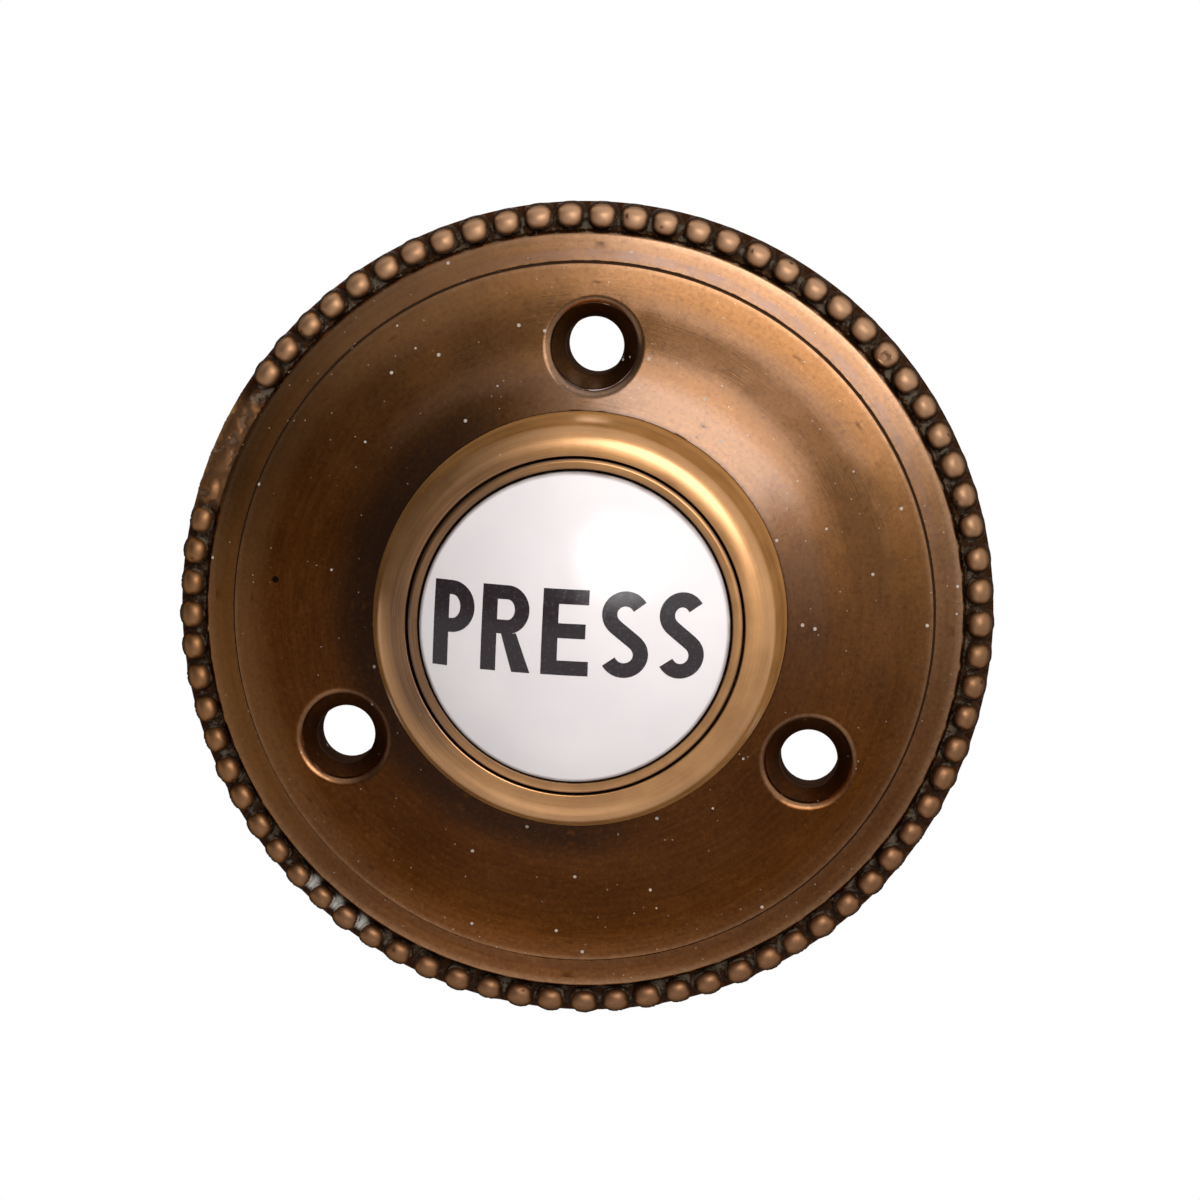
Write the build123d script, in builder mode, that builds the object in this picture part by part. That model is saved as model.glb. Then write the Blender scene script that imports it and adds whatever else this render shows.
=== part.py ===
from build123d import *
import math
import os

# Round doorbell push: a beaded cast rose, a turned barrel, a glazed button and its contact set.
# The back of the rose lies on the wall in the XZ plane, +Z is up and the button faces -Y.
# A height is measured out from the wall, so height h lies at Y = -h. All sizes are millimetres.

# Button cap and the ferrule that holds it
cap_radius = 14.05
cap_dome_radius = 23.0
cap_stand = 0.92
cap_edge_chamfer = 0.3
cap_clearance = 0.2
ferrule_wall = 0.85
ferrule_depth = 2.65
ferrule_rim_chamfer = 0.2
flange_thickness = 0.9
flange_overlap = 0.55
travel = 2.0

# Barrel: bezel in front of the rose, spigot behind it
ferrule_clearance = 0.3
flange_clearance = 0.3
stop_gap = 0.05
guide_length = 1.95
crest_rise = 0.5
crest_offset = 0.4
crown_drop = 1.55
flank_lean = 0.8
base_seat_width = 0.8
barrel_wall = 1.05
foot_width = 1.35
snap_groove_depth = 0.45
tail_land = 1.0

# Rose: hub, field, band and beaded rebate, from the middle outwards
spigot_clearance = 0.1
spot_clearance = 0.1
spot_depth = 0.25
hub_thickness = 3.0
hub_margin = 0.3
hole_count = 3
top_hole_angle = 90.0
hole_radius = 2.65
boss_wall = 1.75
countersink_radius = 4.25
countersink_sink = 0.2
field_margin = 3.15
field_wall = 2.5
field_cove_share = 0.37
field_shoulder_share = 0.33
field_edge_chamfer = 0.35
crevice_width = 0.3
crevice_depth = 0.25
band_cove_width = 1.15
band_width = 1.25
band_chamfer = 0.3
bead_gap = 0.15
bead_radius = 1.2
bead_spacing = 2.98
bead_sides = 8
bead_height = 1.55
bead_root = 1.2
bead_flank_lean = 0.25
bead_crown_width = 0.5
bead_crown_drop = 0.5
worn_bead_sink = 0.6
worn_bead_start = 152.0
worn_bead_end = 167.0
edge_margin = 0.2
edge_land = 0.5
edge_lean = 0.9
land_width = 5.0

# Heights of the rose's front, each above the one outside it
rebate_height = 1.95
band_step = 1.55
band_cove_rise = 0.6
field_step = 0.8
shoulder_rise = 1.25
field_rise = 0.45
field_cove_rise = 1.7

# Nut and washer that clamp the barrel
thread_clearance = 0.05
nut_wall = 1.9
nut_thickness = 1.9
nut_slot_count = 4
nut_slot_width = 2.6
nut_slot_depth = 0.9
nut_boss_clearance = 0.4
lock_washer_thickness = 0.5
lock_washer_margin = 0.3

# Contact base and its snap ring
base_recess = 4.4
base_thickness = 2.0
base_clearance = 0.05
snap_thickness = 0.65
snap_reach = 1.1
snap_gap = 5.0
axial_clearance = 0.05

# Return spring, coiled from flat wire
spring_length = 6.25
spring_turns = 3.0
spring_wire_width = 1.0
spring_wire_thickness = 0.6
spring_margin = 2.6
spring_end_gap = 0.02

# Plunger pin and the moving contact on it
fit_clearance = 0.05
pin_radius = 1.5
pin_head_radius = 3.0
pin_head_height = 0.8
pin_shoulder_radius = 2.4
pin_groove_depth = 0.45
pin_tail = 0.4
head_clearance = 0.4
bush_wall = 0.75
bush_flange_radius = 3.4
bush_flange_thickness = 0.4
disc_radius = 5.4
disc_thickness = 0.8
insulator_radius = 3.3
insulator_thickness = 0.5
clip_radius = 2.7
clip_thickness = 0.5
clip_mouth = 1.7
well_clearance = 0.4

# Fixed contacts and terminals
strip_thickness = 0.5
strip_width = 5.0
strip_inner_margin = 1.0
strip_outer_margin = 2.6
strip_slot_depth = 0.3
strip_slot_clearance = 0.1
tip_radius = 0.7
tip_shank_radius = 0.45
tip_height = 0.4
tip_edge_margin = 0.2
contact_gap = 0.02
terminal_gap = 0.45
screw_radius = 1.45
screw_hole_clearance = 0.15
screw_head_radius = 2.75
screw_head_height = 1.8
screw_slot_width = 0.7
screw_slot_depth = 0.8
screw_end = 0.5
terminal_washer_radius = 3.2
terminal_washer_thickness = 0.5
terminal_nut_flats = 5.5
terminal_nut_thickness = 1.8

# Radii, from the button outwards
ferrule_inner = cap_radius + cap_clearance
ferrule_outer = ferrule_inner + ferrule_wall
barrel_bore = ferrule_outer + ferrule_clearance
flange_radius = barrel_bore + flange_overlap
barrel_counterbore = flange_radius + flange_clearance
base_bore = barrel_counterbore + base_seat_width
base_radius = base_bore - base_clearance
snap_groove_radius = base_bore + snap_groove_depth
spigot_radius = base_bore + barrel_wall
foot_radius = spigot_radius + foot_width
crest_radius = barrel_bore + crest_offset
flank_top_radius = foot_radius - flank_lean
nut_radius = spigot_radius + nut_wall
boss_radius = hole_radius + boss_wall
hole_circle_radius = nut_radius + nut_boss_clearance + boss_radius
spot_radius = foot_radius + spot_clearance
field_edge_radius = hole_circle_radius + countersink_radius + field_margin
field_span = field_edge_radius - spot_radius
field_inner_radius = spot_radius + field_cove_share * field_span
field_outer_radius = field_edge_radius - field_shoulder_share * field_span
riser_radius = field_edge_radius + field_edge_chamfer
crevice_radius = riser_radius + crevice_width
band_inner_radius = crevice_radius + band_cove_width
band_radius = band_inner_radius + band_width
bead_ring_radius = band_radius + bead_gap + bead_radius
plate_radius = bead_ring_radius + bead_radius + edge_margin
cavity_radius = plate_radius - land_width
hub_radius = nut_radius + hub_margin

# Heights of the rose and the nut
band_height = rebate_height + band_step
band_cove_height = band_height + band_cove_rise
field_edge_height = band_cove_height + field_step
shoulder_height = field_edge_height + shoulder_rise
field_height = shoulder_height + field_rise
foot_height = field_height + field_cove_rise
foot_seat = foot_height - spot_depth
hub_back = foot_seat - hub_thickness
cavity_edge_height = field_edge_height - field_wall
countersink_height = shoulder_height - countersink_sink
lock_washer_back = hub_back - lock_washer_thickness
nut_back = lock_washer_back - nut_thickness

# Heights of the barrel and the button at rest
base_front = base_recess + base_thickness
snap_groove_width = snap_thickness + axial_clearance
barrel_rear = base_recess - snap_groove_width - tail_land
ferrule_back = base_front + spring_length
ferrule_floor = ferrule_back + flange_thickness
ferrule_rim = ferrule_floor + ferrule_depth
stop_height = ferrule_floor + stop_gap
lip_height = stop_height + guide_length
crest_height = lip_height + crest_rise
flank_top = crest_height - crown_drop
cap_edge_height = ferrule_rim + cap_stand
cap_face_radius = cap_radius - cap_edge_chamfer
cap_sagitta = cap_dome_radius - math.sqrt(cap_dome_radius**2 - cap_face_radius**2)
cap_top = cap_edge_height + cap_sagitta
cap_well_radius = pin_head_radius + head_clearance
cap_well_top = ferrule_floor + pin_head_height + head_clearance

# Heights of the contacts and of what the pin carries
strip_back = base_front - strip_slot_depth
strip_front = strip_back + strip_thickness
tip_top = strip_front + tip_height
disc_back = tip_top + contact_gap + travel
disc_front = disc_back + disc_thickness
bush_front = disc_front + bush_flange_thickness
insulator_back = disc_back - insulator_thickness
clip_back = insulator_back - clip_thickness - axial_clearance
pin_end = clip_back - pin_tail
well_floor = min(pin_end - travel, base_front) - well_clearance

# Places of the contacts across the base
bush_radius = pin_radius + fit_clearance + bush_wall
tip_offset = disc_radius - tip_edge_margin - tip_radius
terminal_offset = disc_radius + terminal_gap + terminal_nut_flats / 2
strip_inner = tip_offset - strip_inner_margin
strip_outer = terminal_offset + strip_outer_margin
strip_length = strip_outer - strip_inner
strip_centre = (strip_outer + strip_inner) / 2
screw_hole_radius = screw_radius + screw_hole_clearance
nut_front = strip_front + terminal_nut_thickness
screw_seat = base_recess - terminal_washer_thickness
spring_radius = barrel_counterbore - spring_margin
spring_start = base_front + spring_end_gap + spring_wire_thickness / 2
spring_rise = spring_length - 2 * spring_end_gap - spring_wire_thickness

# Profiles are drawn as radius and height, then turned about the push axis
section = Plane(origin=(0, 0, 0), x_dir=(1, 0, 0), z_dir=(0, 0, -1))


def front(height):
    """Plane parallel to the wall, seen from the front with X to the right and Z up."""
    return Plane.XZ.offset(height)


def bead_places():
    """Turned places of the beads on the rebate, with the worn ones sunk into it."""
    count = round(2 * math.pi * bead_ring_radius / bead_spacing)
    places = []
    for index in range(count):
        angle = 360 * index / count
        sink = worn_bead_sink if worn_bead_start <= angle <= worn_bead_end else 0
        across = bead_ring_radius * math.cos(math.radians(angle))
        up = bead_ring_radius * math.sin(math.radians(angle))
        places.append(Location((across, up, -sink), angle))
    return places


os.makedirs("parts", exist_ok=True)

# One bead of the rose's edge: a faceted dome whose root is buried in the rebate
with BuildPart() as bead:
    with BuildSketch(Plane.XY.offset(-bead_root)):
        RegularPolygon(bead_radius, bead_sides)
    extrude(amount=bead_root + bead_height)
    chamfer(bead.faces().sort_by(Axis.Z)[-1].edges(), bead_height, bead_flank_lean)
    chamfer(bead.faces().sort_by(Axis.Z)[-1].edges(), bead_crown_width, bead_crown_drop)

# Rose: a hollow casting turned from one profile, with bosses behind the fixing holes
with BuildPart() as rose_plate:
    with BuildSketch(section):
        with BuildLine():
            Polyline(
                (spot_radius, foot_height),
                (spot_radius, foot_seat),
                (spigot_radius + spigot_clearance, foot_seat),
                (spigot_radius + spigot_clearance, hub_back),
                (hub_radius, hub_back),
                (cavity_radius, cavity_edge_height),
                (cavity_radius, 0),
                (plate_radius, 0),
                (plate_radius, edge_land),
                (plate_radius - edge_lean, rebate_height),
                (band_radius, rebate_height),
                (band_radius, band_height - band_chamfer),
                (band_radius - band_chamfer, band_height),
                (band_inner_radius, band_height),
                (crevice_radius, band_cove_height),
                (riser_radius, band_cove_height - crevice_depth),
                (riser_radius, field_edge_height - field_edge_chamfer),
                (field_edge_radius, field_edge_height),
            )
            field = Line((field_inner_radius, field_height), (field_outer_radius, shoulder_height))
            TangentArc(field @ 1, (field_edge_radius, field_edge_height), tangent=field % 1)
            TangentArc(field @ 0, (spot_radius, foot_height), tangent=-(field % 0))
        make_face()
    revolve(axis=Axis.Y)
    with BuildSketch(front(0)):
        with PolarLocations(hole_circle_radius, hole_count, start_angle=top_hole_angle):
            Circle(boss_radius)
    extrude(amount=hub_back)
    with Locations(front(rebate_height)):
        with Locations(*bead_places()):
            add(bead.part)
    with Locations(front(countersink_height)):
        with PolarLocations(hole_circle_radius, hole_count, start_angle=top_hole_angle):
            CounterSinkHole(hole_radius, countersink_radius, counter_sink_angle=90)
            Cylinder(
                countersink_radius,
                foot_height,
                align=(Align.CENTER, Align.CENTER, Align.MIN),
                mode=Mode.SUBTRACT,
            )
rose_plate.part.label = "rose_plate"
export_step(rose_plate.part, "parts/rose_plate.step")

# Barrel: rounded bezel in front of the rose, bored for the button and stepped for the base behind
with BuildPart() as bezel_barrel:
    with BuildSketch(section):
        with BuildLine():
            Polyline(
                (flank_top_radius, flank_top),
                (foot_radius, foot_seat),
                (spigot_radius, foot_seat),
                (spigot_radius, barrel_rear),
                (base_bore, barrel_rear),
                (base_bore, base_recess - snap_groove_width),
                (snap_groove_radius, base_recess - snap_groove_width),
                (snap_groove_radius, base_recess),
                (base_bore, base_recess),
                (base_bore, base_front),
                (barrel_counterbore, base_front),
                (barrel_counterbore, stop_height),
                (barrel_bore, stop_height),
                (barrel_bore, lip_height),
            )
            TangentArc((crest_radius, crest_height), (flank_top_radius, flank_top), tangent=(1, 0))
            TangentArc((crest_radius, crest_height), (barrel_bore, lip_height), tangent=(-1, 0))
        make_face()
    revolve(axis=Axis.Y)
bezel_barrel.part.label = "bezel_barrel"
export_step(bezel_barrel.part, "parts/bezel_barrel.step")

# Lock washer between the rose and the nut
with BuildPart() as lock_washer:
    with BuildSketch(front(lock_washer_back)):
        Circle(nut_radius - lock_washer_margin)
        Circle(spigot_radius + thread_clearance, mode=Mode.SUBTRACT)
    extrude(amount=lock_washer_thickness)
lock_washer.part.label = "lock_washer"
export_step(lock_washer.part, "parts/lock_washer.step")

# Ring nut with spanner slots in its back
with BuildPart() as ring_nut:
    with BuildSketch(front(nut_back)):
        Circle(nut_radius)
        Circle(spigot_radius + thread_clearance, mode=Mode.SUBTRACT)
    extrude(amount=nut_thickness)
    with BuildSketch(front(nut_back)):
        with PolarLocations(nut_radius, nut_slot_count):
            Rectangle(2 * nut_wall, nut_slot_width)
    extrude(amount=nut_slot_depth, mode=Mode.SUBTRACT)
ring_nut.part.label = "ring_nut"
export_step(ring_nut.part, "parts/ring_nut.step")

# Ferrule: a cup that holds the cap, with a flange that stops behind the barrel's lip
with BuildPart() as button_ferrule:
    with BuildSketch(section):
        with BuildLine():
            Polyline(
                (pin_radius + fit_clearance, ferrule_back),
                (flange_radius, ferrule_back),
                (flange_radius, ferrule_floor),
                (ferrule_outer, ferrule_floor),
                (ferrule_outer, ferrule_rim - ferrule_rim_chamfer),
                (ferrule_outer - ferrule_rim_chamfer, ferrule_rim),
                (ferrule_inner, ferrule_rim),
                (ferrule_inner, ferrule_floor),
                (pin_radius + fit_clearance, ferrule_floor),
                close=True,
            )
        make_face()
    revolve(axis=Axis.Y)
button_ferrule.part.label = "button_ferrule"
export_step(button_ferrule.part, "parts/button_ferrule.step")

# Cap: a glazed dome that seats on the ferrule's floor, hollowed over the pin's head
with BuildPart() as button_cap:
    with BuildSketch(section):
        with BuildLine():
            Polyline(
                (0, cap_top),
                (0, cap_well_top),
                (cap_well_radius, cap_well_top),
                (cap_well_radius, ferrule_floor),
                (cap_radius, ferrule_floor),
                (cap_radius, cap_edge_height - cap_edge_chamfer),
                (cap_face_radius, cap_edge_height),
            )
            RadiusArc((0, cap_top), (cap_face_radius, cap_edge_height), cap_dome_radius)
        make_face()
    revolve(axis=Axis.Y)
button_cap.part.label = "button_cap"
export_step(button_cap.part, "parts/button_cap.step")

# Pin: riveted through the ferrule, shouldered for the bush and grooved for the clip
with BuildPart() as plunger_pin:
    with BuildSketch(section):
        with BuildLine():
            Polyline(
                (0, pin_end),
                (pin_radius, pin_end),
                (pin_radius, clip_back),
                (pin_radius - pin_groove_depth, clip_back),
                (pin_radius - pin_groove_depth, insulator_back),
                (pin_radius, insulator_back),
                (pin_radius, bush_front),
                (pin_shoulder_radius, bush_front),
                (pin_shoulder_radius, ferrule_back),
                (pin_radius, ferrule_back),
                (pin_radius, ferrule_floor),
                (pin_head_radius, ferrule_floor),
                (pin_head_radius, ferrule_floor + pin_head_height),
                (0, ferrule_floor + pin_head_height),
                close=True,
            )
        make_face()
    revolve(axis=Axis.Y)
plunger_pin.part.label = "plunger_pin"
export_step(plunger_pin.part, "parts/plunger_pin.step")

# Insulating bush: its flange lies on the disc and its sleeve lines the disc's hole
with BuildPart() as insulating_bush:
    with BuildSketch(front(disc_front)):
        Circle(bush_flange_radius)
        Circle(pin_radius + fit_clearance, mode=Mode.SUBTRACT)
    extrude(amount=bush_flange_thickness)
    with BuildSketch(front(disc_back)):
        Circle(bush_radius)
        Circle(pin_radius + fit_clearance, mode=Mode.SUBTRACT)
    extrude(amount=disc_thickness)
insulating_bush.part.label = "insulating_bush"
export_step(insulating_bush.part, "parts/insulating_bush.step")

# Contact disc that bridges the two tips
with BuildPart() as contact_disc:
    with BuildSketch(front(disc_back)):
        Circle(disc_radius)
        Circle(bush_radius + fit_clearance, mode=Mode.SUBTRACT)
    extrude(amount=disc_thickness)
contact_disc.part.label = "contact_disc"
export_step(contact_disc.part, "parts/contact_disc.step")

# Insulating washer under the disc
with BuildPart() as insulating_washer:
    with BuildSketch(front(insulator_back)):
        Circle(insulator_radius)
        Circle(pin_radius + fit_clearance, mode=Mode.SUBTRACT)
    extrude(amount=insulator_thickness)
insulating_washer.part.label = "insulating_washer"
export_step(insulating_washer.part, "parts/insulating_washer.step")

# Clip in the pin's groove, open at the bottom
with BuildPart() as e_clip:
    with BuildSketch(front(insulator_back - clip_thickness)):
        Circle(clip_radius)
        Circle(pin_radius - pin_groove_depth + fit_clearance, mode=Mode.SUBTRACT)
        with Locations((0, -clip_radius)):
            Rectangle(clip_mouth, 2 * clip_radius, mode=Mode.SUBTRACT)
    extrude(amount=clip_thickness)
e_clip.part.label = "e_clip"
export_step(e_clip.part, "parts/e_clip.step")

# Return spring between the base and the ferrule
with BuildPart() as return_spring:
    with BuildLine() as coil:
        Helix(
            spring_rise / spring_turns,
            spring_rise,
            spring_radius,
            center=(0, -spring_start, 0),
            direction=(0, -1, 0),
        )
    with BuildSketch(Plane(origin=coil.line @ 0, x_dir=(0, 1, 0), z_dir=coil.line % 0)):
        Rectangle(spring_wire_thickness, spring_wire_width)
    sweep(path=coil.line, is_frenet=True)
return_spring.part.label = "return_spring"
export_step(return_spring.part, "parts/return_spring.step")

# Contact base: slots for the strips, holes for the screws and a well for the pin's end
with BuildPart() as contact_base:
    with BuildSketch(front(base_recess)):
        Circle(base_radius)
        with Locations((-terminal_offset, 0), (terminal_offset, 0)):
            Circle(screw_hole_radius, mode=Mode.SUBTRACT)
    extrude(amount=base_thickness)
    with BuildSketch(front(strip_back)):
        with Locations((-strip_centre, 0), (strip_centre, 0)):
            Rectangle(strip_length + 2 * strip_slot_clearance, strip_width + 2 * strip_slot_clearance)
    extrude(amount=strip_slot_depth, mode=Mode.SUBTRACT)
    with BuildSketch(front(well_floor)):
        Circle(clip_radius + well_clearance)
    extrude(amount=base_front - well_floor, mode=Mode.SUBTRACT)
contact_base.part.label = "contact_base"
export_step(contact_base.part, "parts/contact_base.step")

# Snap ring behind the base, open at the bottom
with BuildPart() as snap_ring:
    with BuildSketch(front(base_recess - snap_thickness)):
        Circle(snap_groove_radius - fit_clearance)
        Circle(base_bore - snap_reach, mode=Mode.SUBTRACT)
        with Locations((0, -base_bore)):
            Rectangle(snap_gap, 2 * snap_reach + 2 * snap_groove_depth, mode=Mode.SUBTRACT)
    extrude(amount=snap_thickness)
snap_ring.part.label = "snap_ring"
export_step(snap_ring.part, "parts/snap_ring.step")


def contact_strip(side):
    """Sketch of one strip, on the left (-1) or the right (1), with its screw and rivet holes."""
    with BuildSketch(front(strip_back)) as outline:
        with Locations((side * strip_centre, 0)):
            Rectangle(strip_length, strip_width)
        with Locations((side * terminal_offset, 0)):
            Circle(screw_hole_radius, mode=Mode.SUBTRACT)
        with Locations((side * tip_offset, 0)):
            Circle(tip_shank_radius + fit_clearance, mode=Mode.SUBTRACT)
    return outline.sketch


# Contact strips in the slots of the base
with BuildPart() as left_contact:
    extrude(contact_strip(-1), amount=strip_thickness)
left_contact.part.label = "left_contact"
export_step(left_contact.part, "parts/left_contact.step")

with BuildPart() as right_contact:
    extrude(contact_strip(1), amount=strip_thickness)
right_contact.part.label = "right_contact"
export_step(right_contact.part, "parts/right_contact.step")

# Contact tips: a headed rivet in each strip
with BuildPart() as contact_tips:
    with BuildSketch(front(strip_back)):
        with Locations((-tip_offset, 0), (tip_offset, 0)):
            Circle(tip_shank_radius)
    extrude(amount=strip_thickness)
    with BuildSketch(front(strip_front)):
        with Locations((-tip_offset, 0), (tip_offset, 0)):
            Circle(tip_radius)
    extrude(amount=tip_height)
contact_tips.part.label = "contact_tips"
export_step(contact_tips.part, "parts/contact_tips.step")

# Terminal screws, entered from behind, with slotted heads
with BuildPart() as terminal_screws:
    with BuildSketch(front(screw_seat - screw_head_height)):
        with Locations((-terminal_offset, 0), (terminal_offset, 0)):
            Circle(screw_head_radius)
    extrude(amount=screw_head_height)
    with BuildSketch(front(screw_seat)):
        with Locations((-terminal_offset, 0), (terminal_offset, 0)):
            Circle(screw_radius)
    extrude(amount=nut_front + screw_end - screw_seat)
    with BuildSketch(front(screw_seat - screw_head_height)):
        with Locations((-terminal_offset, 0), (terminal_offset, 0)):
            Rectangle(screw_slot_width, 2 * screw_head_radius)
    extrude(amount=screw_slot_depth, mode=Mode.SUBTRACT)
terminal_screws.part.label = "terminal_screws"
export_step(terminal_screws.part, "parts/terminal_screws.step")

# Terminal washers under the screw heads
with BuildPart() as terminal_washers:
    with BuildSketch(front(screw_seat)):
        with Locations((-terminal_offset, 0), (terminal_offset, 0)):
            Circle(terminal_washer_radius)
            Circle(screw_hole_radius, mode=Mode.SUBTRACT)
    extrude(amount=terminal_washer_thickness)
terminal_washers.part.label = "terminal_washers"
export_step(terminal_washers.part, "parts/terminal_washers.step")

# Terminal nuts on the strips, with a flat towards the disc
with BuildPart() as terminal_nuts:
    with BuildSketch(front(strip_front)):
        with Locations((-terminal_offset, 0), (terminal_offset, 0)):
            RegularPolygon(terminal_nut_flats / 2, 6, major_radius=False, rotation=30)
            Circle(screw_radius + fit_clearance, mode=Mode.SUBTRACT)
    extrude(amount=terminal_nut_thickness)
terminal_nuts.part.label = "terminal_nuts"
export_step(terminal_nuts.part, "parts/terminal_nuts.step")
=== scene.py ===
import math

import bmesh
import bpy
import numpy as np
from mathutils import Matrix, Vector, noise
from mathutils.geometry import delaunay_2d_cdt


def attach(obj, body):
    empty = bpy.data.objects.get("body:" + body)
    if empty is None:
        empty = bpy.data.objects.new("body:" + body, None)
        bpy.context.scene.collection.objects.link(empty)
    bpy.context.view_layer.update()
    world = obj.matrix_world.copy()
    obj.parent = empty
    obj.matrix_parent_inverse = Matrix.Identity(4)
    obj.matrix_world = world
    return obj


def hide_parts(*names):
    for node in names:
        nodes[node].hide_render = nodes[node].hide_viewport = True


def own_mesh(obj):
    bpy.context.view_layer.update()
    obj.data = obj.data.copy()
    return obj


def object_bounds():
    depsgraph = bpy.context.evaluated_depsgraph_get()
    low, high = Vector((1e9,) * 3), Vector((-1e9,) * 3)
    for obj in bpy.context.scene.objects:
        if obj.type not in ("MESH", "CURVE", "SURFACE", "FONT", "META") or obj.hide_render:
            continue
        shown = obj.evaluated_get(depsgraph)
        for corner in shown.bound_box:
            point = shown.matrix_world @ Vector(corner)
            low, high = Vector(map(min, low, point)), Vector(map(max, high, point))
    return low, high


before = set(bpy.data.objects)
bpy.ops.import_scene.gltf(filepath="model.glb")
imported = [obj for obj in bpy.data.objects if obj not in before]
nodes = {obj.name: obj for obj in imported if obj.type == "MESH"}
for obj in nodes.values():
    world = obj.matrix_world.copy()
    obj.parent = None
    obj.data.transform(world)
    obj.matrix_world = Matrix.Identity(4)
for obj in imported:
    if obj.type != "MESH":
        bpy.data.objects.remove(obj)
cad_low, cad_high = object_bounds()

# Sizes are millimetres in this script and become metres when a mesh is made.
# A height is measured out from the wall, so height h lies at y = -h.
MM = 0.001
TAU = 2 * math.pi

# Rose
BORE_R = 18.2
SPOT_R = 19.02
SPOT_H = 8.05
FOOT_H = 8.42
COVE_BEND_R = 23.5
FIELD_IN = (24.23, 6.6)
FIELD_OUT = (28.03, 6.15)
SHOULDER_END = (32.32, 5.2)
PLATE_R = 38.0
EDGE_TOP_R = 37.1
EDGE_H = 0.15
EDGE_FOOT_R = 37.88
EDGE_STEPS = 6
EDGE_PEAK_H = 1.9
REBATE_H = 1.95
HUB_BACK = 5.05
HUB_R = 20.3
CAVITY_R = 33.0
CAVITY_H = 2.4
HOLE_CIRCLE = 24.8
HOLE_R = 2.65
SINK_R = 4.25
SINK_H = 5.95
BOSS_R = 4.4
HOLE_ANGLES = (90, 210, 330)
HOLE_POINTS = 84
LIP_OUT = 4.68
LIP_CLEAR = 5.05
LIP_IN = 4.0
LIP_DROP = 0.42
LIP_POWER = 1.8
# Rings round a fixing hole: countersink, lip and the field beside it
HOLE_RINGS = (
    HOLE_R, 2.72, 2.95, 3.3, 3.6, 3.78, 3.88, 3.95, LIP_IN, 4.05, 4.1, 4.17, 4.25, 4.34, 4.45, 4.57,
    LIP_OUT, 4.78, 4.95,
)
CREVICE_R = 32.44
BAND_END_R = 35.26
CHANNEL_R = 35.3
# Rings of the beads' channel and of the back, each a radius and its number of points
CHANNEL_RINGS = (
    (35.42, 400), (35.62, 385), (35.9, 385), (36.25, 385), (36.6, 385), (36.95, 385), (37.3, 385),
    (37.6, 400),
)
INNER_POINTS, OUTER_POINTS = 240, 300
BACK_RINGS = (
    (BORE_R, 240), (19.2, 240), (HUB_R, 240), (22.0, 200), (24.0, 200), (26.0, 200), (28.0, 200),
    (30.0, 200), (31.6, 240), (CAVITY_R - 0.02, 300), (CAVITY_R, 300), (CAVITY_R + 0.15, 300),
    (35.5, 300), (EDGE_FOOT_R - 0.2, 400), (EDGE_FOOT_R - 0.08, 400),
)
BEAD_COUNT = 77
BEAD_RING = 36.68
BEAD_DEEP = 1.27
BEAD_WIDE = 1.36
BEAD_SQUARE = 2.5
BEAD_H = 1.5
BEAD_SHIFT = 0.25
BEAD_LEAN = 0.18
# Spread between beads: degrees of turn, millimetres of ring, share of size and of height
BEAD_SPREAD = (0.35, 0.10, 0.07, 0.06)
# The stretch of worn beads in degrees, and how the ground under it rises and fades
WORN_FROM, WORN_TO = 150.5, 168
WORN_FADE_IN, WORN_FADE_OUT = (149.5, 153), (169, 166)
WORN_IN_R = 35.2
WORN_H = 3.2
WORN_SLOPE = 0.55
CRATER_TURN = 42.5
CRATER_REACH = 2.4
HASH_WEIGHTS = (12.9898, 78.233, 37.719)
HASH_SCALE = 43758.5453
# Share of the way to a bead's outline, and the points on that ring
BEAD_ROWS = (
    (0.0, 1), (0.18, 6), (0.36, 10), (0.52, 14), (0.66, 18), (0.78, 20), (0.87, 22), (0.94, 22), (0.98, 22),
    (1.0, 22),
)


def rounded(points, radii, steps=5):
    """A polyline with each inner corner replaced by a small arc of the radius given for it."""
    pts = [np.array(p, float) for p in points]
    out = [pts[0]]
    for i in range(1, len(pts) - 1):
        a, b, c = pts[i - 1], pts[i], pts[i + 1]
        r = radii[i]
        if r <= 0:
            out.append(b)
            continue
        u, v = (a - b), (c - b)
        lu, lv = np.linalg.norm(u), np.linalg.norm(v)
        u, v = u / lu, v / lv
        half = math.acos(max(-1, min(1, float(u @ v)))) / 2
        cut = min(r / math.tan(half), 0.48 * lu, 0.48 * lv)
        p0, p1 = b + u * cut, b + v * cut
        for k in range(steps + 1):
            t = k / steps
            out.append((1 - t) ** 2 * p0 + 2 * t * (1 - t) * b + t * t * p1)
    out.append(pts[-1])
    return np.array(out)


def tangent_arc(start, direction, end, steps):
    """Points of the arc that leaves start along direction and ends at end."""
    p, q = np.array(start, float), np.array(end, float)
    d = np.array(direction, float) / np.linalg.norm(direction)
    n = np.array((-d[1], d[0]))
    chord = q - p
    radius = float(chord @ chord) / (2 * float(chord @ n))
    centre = p + n * radius
    a0 = math.atan2(*(p - centre)[::-1])
    a1 = math.atan2(*(q - centre)[::-1])
    turn = (a1 - a0 + math.pi) % TAU - math.pi
    return [
        centre + abs(radius) * np.array((math.cos(a0 + turn * k / steps), math.sin(a0 + turn * k / steps)))
        for k in range(steps + 1)
    ]


def smooth(edge0, edge1, x):
    """0 at edge0, 1 at edge1 and an eased slope between them."""
    t = min(1.0, max(0.0, (x - edge0) / (edge1 - edge0)))
    return t * t * (3 - 2 * t)


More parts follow.
